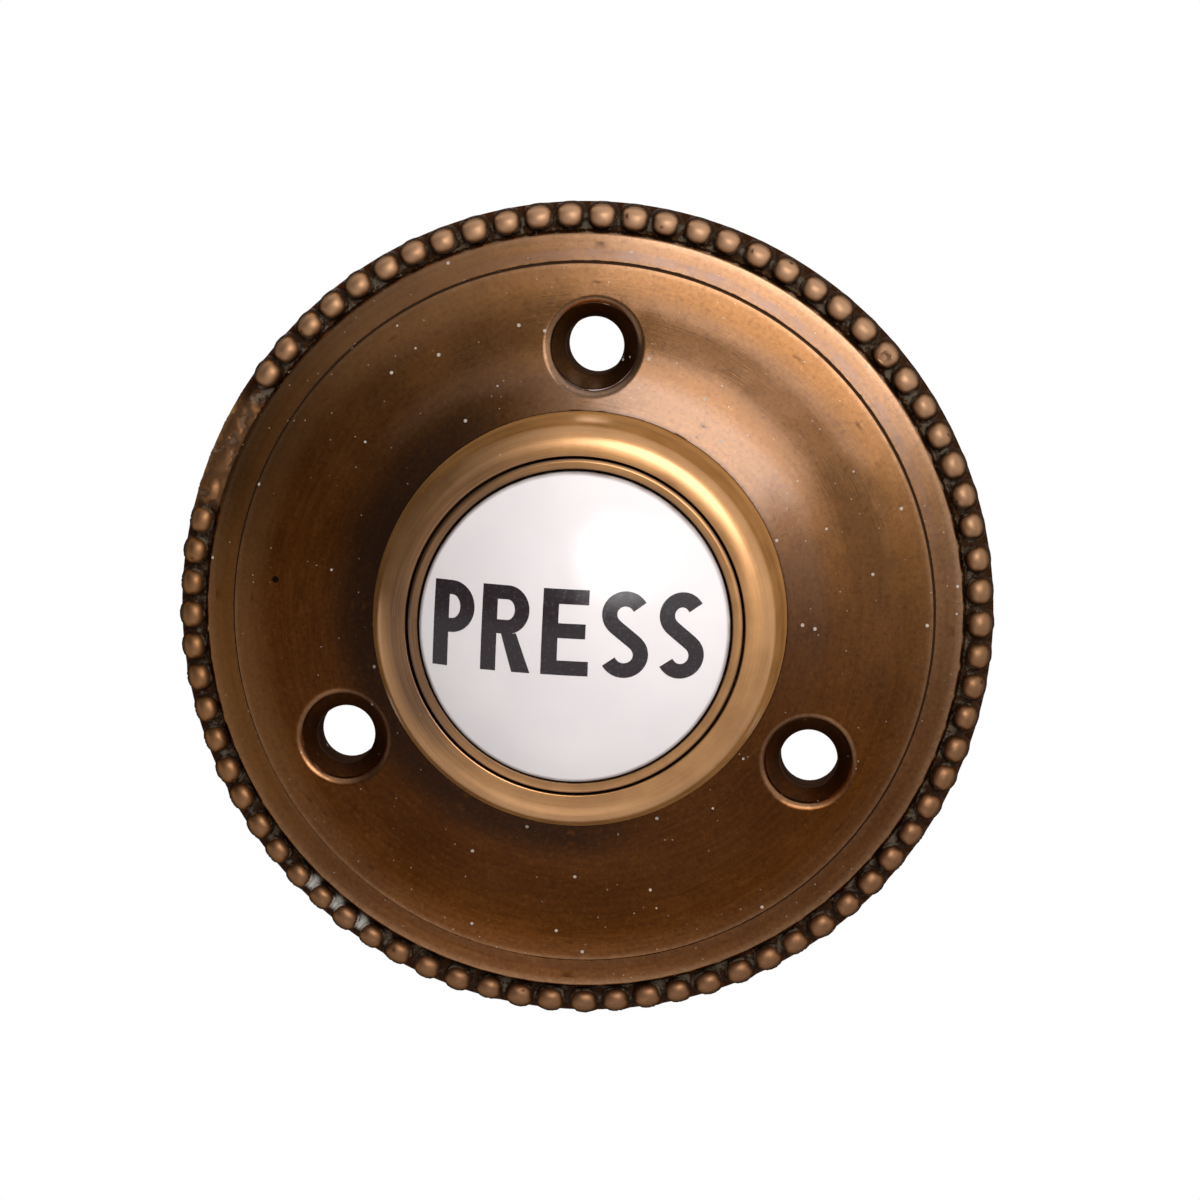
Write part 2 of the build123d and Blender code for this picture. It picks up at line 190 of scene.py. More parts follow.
def new_object(name, verts, faces, material, body, slot=None, replaces=(), sharp=math.radians(38)):
    """A smooth shaded mesh in the row frame that rides on a body. verts are millimetres."""
    mesh = bpy.data.meshes.new(name)
    mesh.from_pydata([tuple(c * MM for c in v) for v in verts], [], [tuple(f) for f in faces])
    bm = bmesh.new()
    bm.from_mesh(mesh)
    bmesh.ops.remove_doubles(bm, verts=bm.verts, dist=1e-7)
    bmesh.ops.dissolve_degenerate(bm, edges=bm.edges, dist=1e-7)
    bmesh.ops.recalc_face_normals(bm, faces=bm.faces)
    bm.to_mesh(mesh)
    bm.free()
    mesh.polygons.foreach_set("use_smooth", [True] * len(mesh.polygons))
    mesh.set_sharp_from_angle(angle=sharp)
    obj = bpy.data.objects.new(name, mesh)
    bpy.context.scene.collection.objects.link(obj)
    mesh.materials.append(material)
    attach(obj, body)
    if replaces:
        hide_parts(*replaces)
    return obj


def lathe(profile, segments):
    """Verts and faces of a closed profile of (radius, height) turned about the push axis."""
    verts, faces = [], []
    count = len(profile)
    for k in range(segments):
        a = TAU * k / segments
        c, s = math.cos(a), math.sin(a)
        verts += [(r * c, -h, r * s) for r, h in profile]
    for k in range(segments):
        m = (k + 1) % segments
        for i in range(count):
            j = (i + 1) % count
            faces.append((k * count + i, k * count + j, m * count + j, m * count + i))
    return verts, faces


# A casting pit in the field, and the gaps between beads that hold a chalky deposit
PIT_SPOT = (-28.5, 0.0, 1.8)
CHALK_SPOTS = ((-24.3, 0.0, -26.9), (-22.0, 0.0, -28.75), (-19.6, 0.0, -30.45))


# Node helpers
def material(name):
    m = bpy.data.materials.new(name)
    m.use_nodes = True
    tree = m.node_tree
    tree.nodes.clear()
    out = tree.nodes.new("ShaderNodeOutputMaterial")
    shader = tree.nodes.new("ShaderNodeBsdfPrincipled")
    tree.links.new(shader.outputs[0], out.inputs[0])
    return m, Graph(tree), shader


class Graph:
    """Short calls that add nodes to a tree and return the output socket."""

    def __init__(self, tree):
        self.tree = tree

    def link(self, value, socket):
        if isinstance(value, bpy.types.NodeSocket):
            self.tree.links.new(value, socket)
        else:
            socket.default_value = value

    def add(self, kind, **props):
        n = self.tree.nodes.new(kind)
        for k, v in props.items():
            setattr(n, k, v)
        return n

    def feed(self, node, values):
        """Sets or links the named inputs of a node."""
        for name, value in values.items():
            self.link(value, node.inputs[name])

    def math(self, op, a, b=0.0, clamp=False):
        n = self.add("ShaderNodeMath", operation=op, use_clamp=clamp)
        self.link(a, n.inputs[0])
        self.link(b, n.inputs[1])
        return n.outputs[0]

    def times(self, a, b, clamp=False):
        return self.math("MULTIPLY", a, b, clamp)

    def plus(self, a, b):
        return self.math("ADD", a, b)

    def minus(self, a, b, clamp=False):
        return self.math("SUBTRACT", a, b, clamp)

    def most(self, a, b):
        return self.math("MAXIMUM", a, b)

    def vec(self, op, a, b=(0, 0, 0)):
        n = self.add("ShaderNodeVectorMath", operation=op)
        self.link(a, n.inputs[0])
        self.link(b, n.inputs[1])
        return n.outputs["Value"] if op in ("LENGTH", "DISTANCE", "DOT_PRODUCT") else n.outputs[0]

    def mix(self, factor, a, b):
        n = self.add("ShaderNodeMix", data_type="RGBA")
        self.link(factor, n.inputs["Factor"])
        self.link(rgba(a), n.inputs[6])
        self.link(rgba(b), n.inputs[7])
        return n.outputs[2]

    def ramp(self, value, low, high, out_low=0.0, out_high=1.0):
        n = self.add("ShaderNodeMapRange", interpolation_type="SMOOTHSTEP")
        self.feed(n, {"Value": value, "From Min": low, "From Max": high})
        self.feed(n, {"To Min": out_low, "To Max": out_high})
        return n.outputs[0]

    def noise(self, vector, scale, detail=4.0, rough=0.55):
        n = self.add("ShaderNodeTexNoise")
        self.feed(n, {"Vector": vector, "Scale": scale, "Detail": detail, "Roughness": rough})
        return n.outputs["Fac"]

    def specks(self, vector, scale, size, share):
        """1 in small round specks, on a share of the cells of a random pattern."""
        n = self.add("ShaderNodeTexVoronoi")
        self.feed(n, {"Vector": vector, "Scale": scale, "Randomness": 1.0})
        dot = self.math("LESS_THAN", n.outputs["Distance"], size)
        split = self.add("ShaderNodeSeparateColor")
        self.link(n.outputs["Color"], split.inputs[0])
        return self.times(dot, self.math("LESS_THAN", split.outputs[0], share))

    def attribute(self, name):
        n = self.add("ShaderNodeAttribute", attribute_name=name)
        return n.outputs["Fac"]

    def place(self):
        """The surface point in millimetres."""
        n = self.add("ShaderNodeTexCoord")
        return self.vec("MULTIPLY", n.outputs["Object"], (1 / MM, 1 / MM, 1 / MM))

    def polar(self, point):
        """(radius, angle, height) sockets about the push axis."""
        split = self.add("ShaderNodeSeparateXYZ")
        self.link(point, split.inputs[0])
        radius = self.vec("LENGTH", self.vec("MULTIPLY", point, (1, 0, 1)))
        angle = self.math("ARCTAN2", split.outputs[2], split.outputs[0])
        height = self.times(split.outputs[1], -1.0)
        return radius, angle, height

    def joined(self, x, y, z):
        n = self.add("ShaderNodeCombineXYZ")
        self.link(x, n.inputs[0])
        self.link(y, n.inputs[1])
        self.link(z, n.inputs[2])
        return n.outputs[0]

    def bump(self, height, strength, distance):
        n = self.add("ShaderNodeBump")
        self.feed(n, {"Height": height, "Strength": strength, "Distance": distance * MM})
        return n.outputs[0]


def rgba(c):
    return (*c, 1.0) if isinstance(c, tuple) and len(c) == 3 else c


def turned_lines(g, point, fine, long):
    """Streaks that run round the push axis: fine across the radius, long along the turn."""
    radius, angle, height = g.polar(point)
    return g.joined(
        g.times(radius, fine), g.times(angle, long), g.times(height, fine)
    )


def antique_brass():
    """Brown patinated brass under old lacquer, rubbed on the high spots and dirty in the low ones, with
    painted shade and painted light laid into its colour.
    """
    m, g, shader = material("antique_brass")
    p = g.place()
    radius, _, height = g.polar(p)
    facing = g.add("ShaderNodeTexCoord").outputs["Normal"]
    front = g.ramp(g.vec("DOT_PRODUCT", facing, (0.0, -1.0, 0.0)), 0.0, 0.1)
    # The grime attribute holds grime and painted shade, the rub attribute rubbing and painted light.
    grime_and_painted_shade = g.attribute("grime_and_painted_shade")
    rub_and_painted_light = g.attribute("rub_and_painted_light")
    cloud = g.noise(p, 0.10, 4.0, 0.55)
    fleck = g.noise(p, 2.4, 6.0, 0.7)
    streak = g.noise(turned_lines(g, p, 2.6, 6.0), 1.0, 5.0, 0.65)
    hair = g.noise(turned_lines(g, p, 9.0, 7.0), 1.0, 3.0, 0.6)
    beaded = g.ramp(radius, 35.25, 35.45)
    tone = g.plus(g.times(cloud, 0.45), g.times(streak, 0.55))
    colour = g.mix(g.ramp(tone, 0.32, 0.68), (0.090, 0.0245, 0.0032), (0.150, 0.047, 0.0080))
    # The old lacquer is left at the top and upper right, and is nearly gone below; there the colour is also
    # made a lighter, yellower brown as a painted highlight tint.
    lacquer_and_highlight = g.ramp(g.vec("DOT_PRODUCT", p, (0.35, 0.0, 0.94)), -5.0, 22.0, 0.06, 1.0)
    colour = g.mix(g.times(lacquer_and_highlight, 0.65), colour, (0.124, 0.055, 0.0120))
    colour = g.mix(g.ramp(fleck, 0.48, 0.70, 0.0, 0.55), colour, (0.055, 0.017, 0.004))
    colour = g.mix(g.ramp(fleck, 0.46, 0.30, 0.0, 0.40), colour, (0.200, 0.085, 0.026))
    colour = g.mix(g.times(rub_and_painted_light, g.ramp(fleck, 0.3, 0.7, 0.9, 0.55)), colour, (0.34, 0.185, 0.098))
    dirt_and_painted_shade = g.times(grime_and_painted_shade, g.ramp(fleck, 0.25, 0.6, 0.8, 1.0), clamp=True)
    # The crevice between the field and the band is a dark line of uneven width
    waver = g.times(g.minus(g.noise(p, 1.4, 4.0, 0.7), 0.5), 0.35)
    crevice = g.ramp(g.plus(g.math("ABSOLUTE", g.minus(radius, CREVICE_R)), waver), 0.17, 0.06)
    crevice = g.times(crevice, g.times(g.ramp(height, 4.75, 4.35), g.ramp(height, 2.9, 3.3)))
    dirt_and_painted_shade = g.most(dirt_and_painted_shade, g.times(crevice, 0.9))
    # The dark of grime, which also paints shade where the grime attribute holds it.
    colour = g.mix(dirt_and_painted_shade, colour, (0.028, 0.015, 0.010))
    deep = g.ramp(g.most(grime_and_painted_shade, crevice), 0.86, 0.98)
    # The shoulder at the upper left is painted a lighter gold: painted light.
    left = g.times(front, g.ramp(g.vec("DOT_PRODUCT", p, (-0.94, 0.0, 0.34)), 8.0, 30.0))
    gold = g.times(g.ramp(radius, 32.6, 32.9, 0.35, 0.45), g.ramp(radius, 28.5, 31.5))
    gold = g.times(g.times(gold, g.ramp(dirt_and_painted_shade, 0.6, 0.2)), left)
    colour = g.mix(gold, colour, (0.23, 0.090, 0.016))
    # A grey film beside the crevice, strongest at the top, where part of it is a painted reflection
    strip = g.times(g.ramp(radius, 32.68, 32.8), g.ramp(radius, 33.75, 33.45))
    strip = g.times(strip, g.ramp(g.vec("DOT_PRODUCT", p, (0, 0, 1)), 0.0, 26.0, 0.15, 1.0))
    strip = g.times(strip, g.minus(front, left, clamp=True))
    film_and_reflection = g.times(strip, g.ramp(g.noise(p, 0.5, 4.0, 0.6), 0.35, 0.65, 0.15, 0.5))
    colour = g.mix(film_and_reflection, colour, (0.110, 0.070, 0.062))
    # Deposits: grey green between the beads, chalky in three gaps at the lower left
    low = g.times(front, g.ramp(radius, 37.0, 36.6))
    dirty = g.times(g.ramp(grime_and_painted_shade, 0.35, 0.7), g.ramp(rub_and_painted_light, 0.2, 0.08))
    channel = g.times(g.times(beaded, low), dirty)
    crust = g.times(channel, g.ramp(g.noise(p, 0.9, 4.0, 0.7), 0.47, 0.60))
    colour = g.mix(g.times(crust, 0.7), colour, (0.15, 0.122, 0.088))
    chalk = None
    for spot in CHALK_SPOTS:
        near = g.ramp(g.vec("DISTANCE", g.vec("MULTIPLY", p, (1, 0, 1)), spot), 0.95, 0.35)
        chalk = near if chalk is None else g.most(chalk, near)
    chalk = g.times(chalk, g.ramp(g.noise(p, 1.2, 3.0, 0.6), 0.32, 0.46))
    chalk = g.times(g.times(chalk, front), g.ramp(grime_and_painted_shade, 0.2, 0.5))
    colour = g.mix(g.times(chalk, 0.9), colour, (0.52, 0.49, 0.44))
    # Dust, and one pit at the left
    dust = g.specks(p, 0.42, 0.07, 0.6)
    fine_dust = g.specks(p, 1.2, 0.085, 0.4)
    specks = g.most(dust, g.times(fine_dust, 0.6))
    specks = g.times(specks, g.minus(1.0, beaded))
    colour = g.mix(g.times(specks, 0.75), colour, (0.50, 0.44, 0.38))
    matt = g.most(g.most(crust, chalk), g.most(specks, deep))
    # Rubbed bead tops, lighter towards the top of the ring as painted light
    bead_wear_and_painted_light = g.times(beaded, rub_and_painted_light)
    colour = g.mix(g.times(bead_wear_and_painted_light, 0.75), colour, (0.52, 0.30, 0.172))
    pit = g.ramp(g.vec("DISTANCE", g.vec("MULTIPLY", p, (1, 0, 1)), PIT_SPOT), 0.42, 0.22)
    colour = g.mix(g.times(pit, front), colour, (0.012, 0.006, 0.004))
    g.link(colour, shader.inputs["Base Color"])
    scatter = g.most(matt, g.times(bead_wear_and_painted_light, 0.4))
    g.link(g.ramp(scatter, 0.0, 1.0, 1.0, 0.05), shader.inputs["Metallic"])
    g.link(g.ramp(matt, 0.0, 1.0, 0.5, 0.0), shader.inputs["Specular IOR Level"])
    shader.inputs["Specular Tint"].default_value = (0.42, 0.38, 0.34, 1.0)
    satin = g.ramp(g.plus(cloud, g.times(hair, 0.4)), 0.4, 1.0, 0.25, 0.34)
    rough = g.plus(satin, g.times(dirt_and_painted_shade, 0.25))
    g.link(g.plus(rough, g.times(beaded, 0.22)), shader.inputs["Roughness"])
    bare = g.most(g.most(matt, g.ramp(dirt_and_painted_shade, 0.15, 0.6)), beaded)
    lacquer_and_highlight = g.times(lacquer_and_highlight, g.ramp(radius, 23.6, 21.5, 0.5, 1.0))
    shoulder = g.times(g.ramp(radius, 28.5, 31.0, 0.0, 0.6), g.ramp(radius, 32.5, 32.3))
    lacquer_and_highlight = g.times(lacquer_and_highlight, g.minus(1.0, shoulder))
    g.link(g.times(g.minus(1.0, bare, clamp=True), lacquer_and_highlight), shader.inputs["Coat Weight"])
    g.link(g.ramp(hair, 0.3, 0.7, 0.14, 0.22), shader.inputs["Coat Roughness"])
    shader.inputs["Coat IOR"].default_value = 1.55
    relief = g.plus(g.times(hair, 0.5), g.times(fleck, 0.5))
    uneven = g.bump(relief, 0.26, 0.045)
    g.link(uneven, shader.inputs["Normal"])
    g.link(uneven, shader.inputs["Coat Normal"])
    return m


def golden_brass():
    """Polished brass of the collar and ferrule, with painted shade that darkens the left of the crown to
    brown.
    """
    m, g, shader = material("golden_brass")
    p = g.place()
    radius, _, height = g.polar(p)
    ring = g.noise(turned_lines(g, p, 7.0, 1.4), 1.0, 4.0, 0.65)
    cloud = g.noise(p, 0.22, 5.0, 0.6)
    fleck = g.noise(p, 1.4, 4.0, 0.6)
    tone = g.plus(g.times(cloud, 0.6), g.times(ring, 0.4))
    colour = g.mix(g.ramp(tone, 0.35, 0.66), (0.44, 0.200, 0.058), (0.58, 0.285, 0.096))
    # The left of the crown is darkened to brown: painted shade.
    painted_left_shade = g.ramp(g.vec("DOT_PRODUCT", p, (-0.92, 0.0, 0.25)), 2.0, 12.0, 0.0, 0.92)
    painted_left_shade = g.times(painted_left_shade, g.ramp(radius, 17.7, 16.3, 0.12, 1.0))
    colour = g.mix(g.times(painted_left_shade, g.ramp(ring, 0.3, 0.6, 1.0, 0.75)), colour, (0.11, 0.040, 0.008))
    # Grime and painted shade from the grime attribute
    dirt_and_painted_shade = g.times(g.attribute("grime_and_painted_shade"), g.ramp(fleck, 0.2, 0.6, 0.65, 1.0), clamp=True)
    colour = g.mix(dirt_and_painted_shade, colour, (0.04, 0.02, 0.010))
    specks = g.specks(p, 0.8, 0.05, 0.1)
    colour = g.mix(g.times(specks, 0.6), colour, (0.62, 0.55, 0.46))
    g.link(colour, shader.inputs["Base Color"])
    g.link(g.ramp(height, 13.6, 15.3, 0.5, 0.9), shader.inputs["Metallic"])
    shader.inputs["Specular Tint"].default_value = (0.45, 0.32, 0.20, 1.0)
    rough = g.plus(g.ramp(tone, 0.3, 0.7, 0.29, 0.38), g.times(dirt_and_painted_shade, 0.25))
    g.link(g.plus(rough, g.ramp(height, 12.8, 9.8, 0.0, 0.28)), shader.inputs["Roughness"])
    g.link(g.ramp(height, 14.0, 15.6, 0.0, 0.9), shader.inputs["Coat Weight"])
    shader.inputs["Coat Roughness"].default_value = 0.24
    shader.inputs["Coat IOR"].default_value = 1.65
    g.link(g.bump(ring, 0.12, 0.03), shader.inputs["Normal"])
    return m


def porcelain():
    """White glaze with a few dark specks and a stained rim."""
    m, g, shader = material("porcelain")
    p = g.place()
    radius, _, _ = g.polar(p)
    cloud = g.noise(p, 0.1, 3.0, 0.5)
    colour = g.mix(g.ramp(cloud, 0.35, 0.65), (0.755, 0.695, 0.695), (0.79, 0.735, 0.73))
    specks = g.most(g.specks(p, 0.34, 0.035, 0.35), g.specks(p, 1.1, 0.05, 0.03))
    colour = g.mix(g.times(specks, 0.35), colour, (0.35, 0.30, 0.29))
    stain = g.times(g.ramp(radius, 13.65, 14.02), g.ramp(g.noise(p, 0.3, 2.0, 0.5), 0.3, 0.7, 0.6, 1.0))
    colour = g.mix(stain, colour, (0.22, 0.17, 0.16))
    g.link(colour, shader.inputs["Base Color"])
    shader.inputs["Roughness"].default_value = 0.2
    shader.inputs["IOR"].default_value = 1.5
    shader.inputs["Subsurface Weight"].default_value = 0.08
    shader.inputs["Subsurface Radius"].default_value = (0.0012, 0.0010, 0.0009)
    g.link(g.bump(g.noise(p, 0.35, 2.0, 0.5), 0.06, 0.15), shader.inputs["Normal"])
    return m


def print_black():
    """The slightly worn black of the lettering."""
    m, g, shader = material("lettering_black")
    p = g.place()
    worn = g.noise(p, 2.4, 4.0, 0.65)
    colour = g.mix(g.ramp(worn, 0.5, 0.75), (0.022, 0.015, 0.017), (0.036, 0.026, 0.029))
    g.link(colour, shader.inputs["Base Color"])
    g.link(g.ramp(worn, 0.3, 0.7, 0.16, 0.30), shader.inputs["Roughness"])
    return m


def worked_metal(name, dark, light, rough_low, rough_high, scale=1.0):
    """A plain machined metal: clouded tone, drawn lines and fine scratches."""
    m, g, shader = material(name)
    p = g.place()
    cloud = g.noise(p, 0.35 * scale, 5.0, 0.6)
    line = g.noise(turned_lines(g, p, 6.0 * scale, 2.0), 1.0, 4.0, 0.65)
    tone = g.plus(g.times(cloud, 0.6), g.times(line, 0.4))
    colour = g.mix(g.ramp(tone, 0.34, 0.66), dark, light)
    stain = g.ramp(g.noise(p, 0.9 * scale, 5.0, 0.7), 0.55, 0.75, 0.0, 0.6)
    colour = g.mix(stain, colour, tuple(c * 0.45 for c in dark))
    g.link(colour, shader.inputs["Base Color"])
    shader.inputs["Metallic"].default_value = 1.0
    g.link(g.ramp(tone, 0.3, 0.7, rough_low, rough_high), shader.inputs["Roughness"])
    g.link(g.bump(line, 0.2, 0.03), shader.inputs["Normal"])
    return m


def moulded(name, dark, light, rough_low, rough_high, grain):
    """A moulded or pressed insulator with a mottled tone and a fine grain."""
    m, g, shader = material(name)
    p = g.place()
    cloud = g.noise(p, 0.4, 5.0, 0.65)
    grit = g.noise(p, grain, 4.0, 0.6)
    tone = g.plus(g.times(cloud, 0.6), g.times(grit, 0.4))
    g.link(g.mix(g.ramp(tone, 0.36, 0.64), dark, light), shader.inputs["Base Color"])
    g.link(g.ramp(grit, 0.3, 0.7, rough_low, rough_high), shader.inputs["Roughness"])
    g.link(g.bump(grit, 0.25, 0.04), shader.inputs["Normal"])
    return m


brass_old = antique_brass()
brass_gold = golden_brass()
glaze = porcelain()
ink = print_black()
brass_plain = worked_metal("plain_brass", (0.44, 0.29, 0.11), (0.66, 0.47, 0.20), 0.28, 0.45)
steel = worked_metal("steel", (0.30, 0.29, 0.28), (0.50, 0.49, 0.47), 0.30, 0.48)
silver = worked_metal("silver", (0.55, 0.54, 0.52), (0.74, 0.73, 0.70), 0.25, 0.4, 3.0)
fibre = moulded("fibre", (0.20, 0.05, 0.030), (0.31, 0.09, 0.05), 0.6, 0.8, 6.0)
phenolic = moulded("phenolic", (0.028, 0.015, 0.010), (0.062, 0.034, 0.021), 0.32, 0.5, 3.0)


# Rose: the front and the back are triangulated in plan, then raised to their heights
def rose_profile():
    field = np.array(FIELD_OUT) - np.array(FIELD_IN)
    bend = np.array(FIELD_IN) - field / field[0] * (FIELD_IN[0] - COVE_BEND_R)
    cove = rounded([(SPOT_R, FOOT_H), bend, FIELD_OUT], [0, 20.0, 0], 16)
    shoulder = tangent_arc(FIELD_OUT, field, SHOULDER_END, 20)
    rim = rounded(
        [shoulder[-2], SHOULDER_END, (32.4, 4.2), (CREVICE_R, 4.02), (32.54, 4.1), (33.5, 3.87),
         (34.3, 3.63), (34.97, 3.4), (35.23, 3.1), (BAND_END_R, REBATE_H), (EDGE_TOP_R, REBATE_H),
         (PLATE_R, EDGE_H)],
        [0, 0.05, 0.02, 0.02, 0.03, 1.2, 1.2, 0.35, 0.2, 0.1, 0.4, 0],
    )
    start = [(BORE_R, SPOT_H), (SPOT_R - 0.03, SPOT_H), (SPOT_R - 0.01, FOOT_H - 0.03)]
    return np.array(start + [tuple(q) for part in (cove[:-1], shoulder[:-2], rim) for q in part])


PROFILE = rose_profile()


def hole_centres():
    turns = [math.radians(a) for a in HOLE_ANGLES]
    return [(HOLE_CIRCLE * math.cos(t), HOLE_CIRCLE * math.sin(t)) for t in turns]


HOLES = hole_centres()


def hash01(*keys):
    """A fixed number from 0 to 1 for each set of keys."""
    mixed = sum((k + 1) * w for k, w in zip(keys, HASH_WEIGHTS))
    return (math.sin(mixed) * HASH_SCALE) % 1.0


def bead_facts():
    """Turn, ring, size and wear of each bead: most are even, a few are worn away and one has a crater."""
    facts = []
    turn_spread, ring_spread, size_spread, height_spread = BEAD_SPREAD
    for i in range(BEAD_COUNT):
        deg = 360 * (i + BEAD_SHIFT) / BEAD_COUNT
        worn = WORN_FROM <= deg <= WORN_TO
        turn = math.radians(deg + turn_spread * (hash01(i, 1) - 0.5))
        ring = BEAD_RING + ring_spread * (hash01(i, 2) - 0.5)
        size = 0.95 + size_spread * hash01(i, 3)
        height = BEAD_H * (0.94 + height_spread * hash01(i, 4))
        if worn:
            height *= 0.10 + 0.22 * hash01(i, 5)
        deep = min(BEAD_DEEP * size, (EDGE_FOOT_R if worn else PLATE_R) - 0.05 - ring)
        crater = abs(deg - CRATER_TURN) < CRATER_REACH
        facts.append((turn, ring, deep, BEAD_WIDE * size, height, worn, crater))
    return facts


def bead_share(bead, x, z):
    """0 in the middle of a bead and 1 on its outline, which is a rounded square in plan."""
    turn, ring, deep, wide = bead[:4]
    c, s = math.cos(turn), math.sin(turn)
    u, v = abs(x * c + z * s - ring) / deep, abs(z * c - x * s) / wide
    return (u**BEAD_SQUARE + v**BEAD_SQUARE) ** (1 / BEAD_SQUARE)


BEADS = bead_facts()


def edge_loop():
    """Plan points of the outer edge, which stands out a little at each bead, with their radius."""
    points = []
    for k in range(BEAD_COUNT * EDGE_STEPS):
        a = TAU * ((k + 0.5) / EDGE_STEPS - 0.5 + BEAD_SHIFT) / BEAD_COUNT
        turn, bead_ring, deep, wide, _, worn, _ = BEADS[k // EDGE_STEPS]
        v = abs(a - turn) * bead_ring / wide
        reach = bead_ring + deep * max(0.0, 1 - v**BEAD_SQUARE) ** (1 / BEAD_SQUARE) + 0.03
        r = EDGE_FOOT_R if worn else min(PLATE_R, max(EDGE_FOOT_R, reach))
        points.append((r * math.cos(a), r * math.sin(a), r))
    return points


EDGE = edge_loop()


def beyond_edge(x, z):
    """True for a plan point that lies outside the outer edge."""
    k = math.floor((math.atan2(z, x) / TAU * BEAD_COUNT - BEAD_SHIFT + 0.5) * EDGE_STEPS - 0.5)
    (x0, z0, _), (x1, z1, _) = EDGE[k % len(EDGE)], EDGE[(k + 1) % len(EDGE)]
    return (x1 - x0) * (z - z0) < (z1 - z0) * (x - x0)


def wobble(x, z):
    """Small unevenness of the cast and hand finished face."""
    wide = noise.noise(Vector((x * 0.16, z * 0.16, 3.1)))
    fine = noise.noise(Vector((x * 0.55, z * 0.55, 7.7)))
    return 0.035 * wide + 0.012 * fine


def away_from(angle, centre):
    """0 on the side of the centre angle and 1 on the side opposite to it."""
    return 0.5 - 0.5 * math.cos(angle - centre)


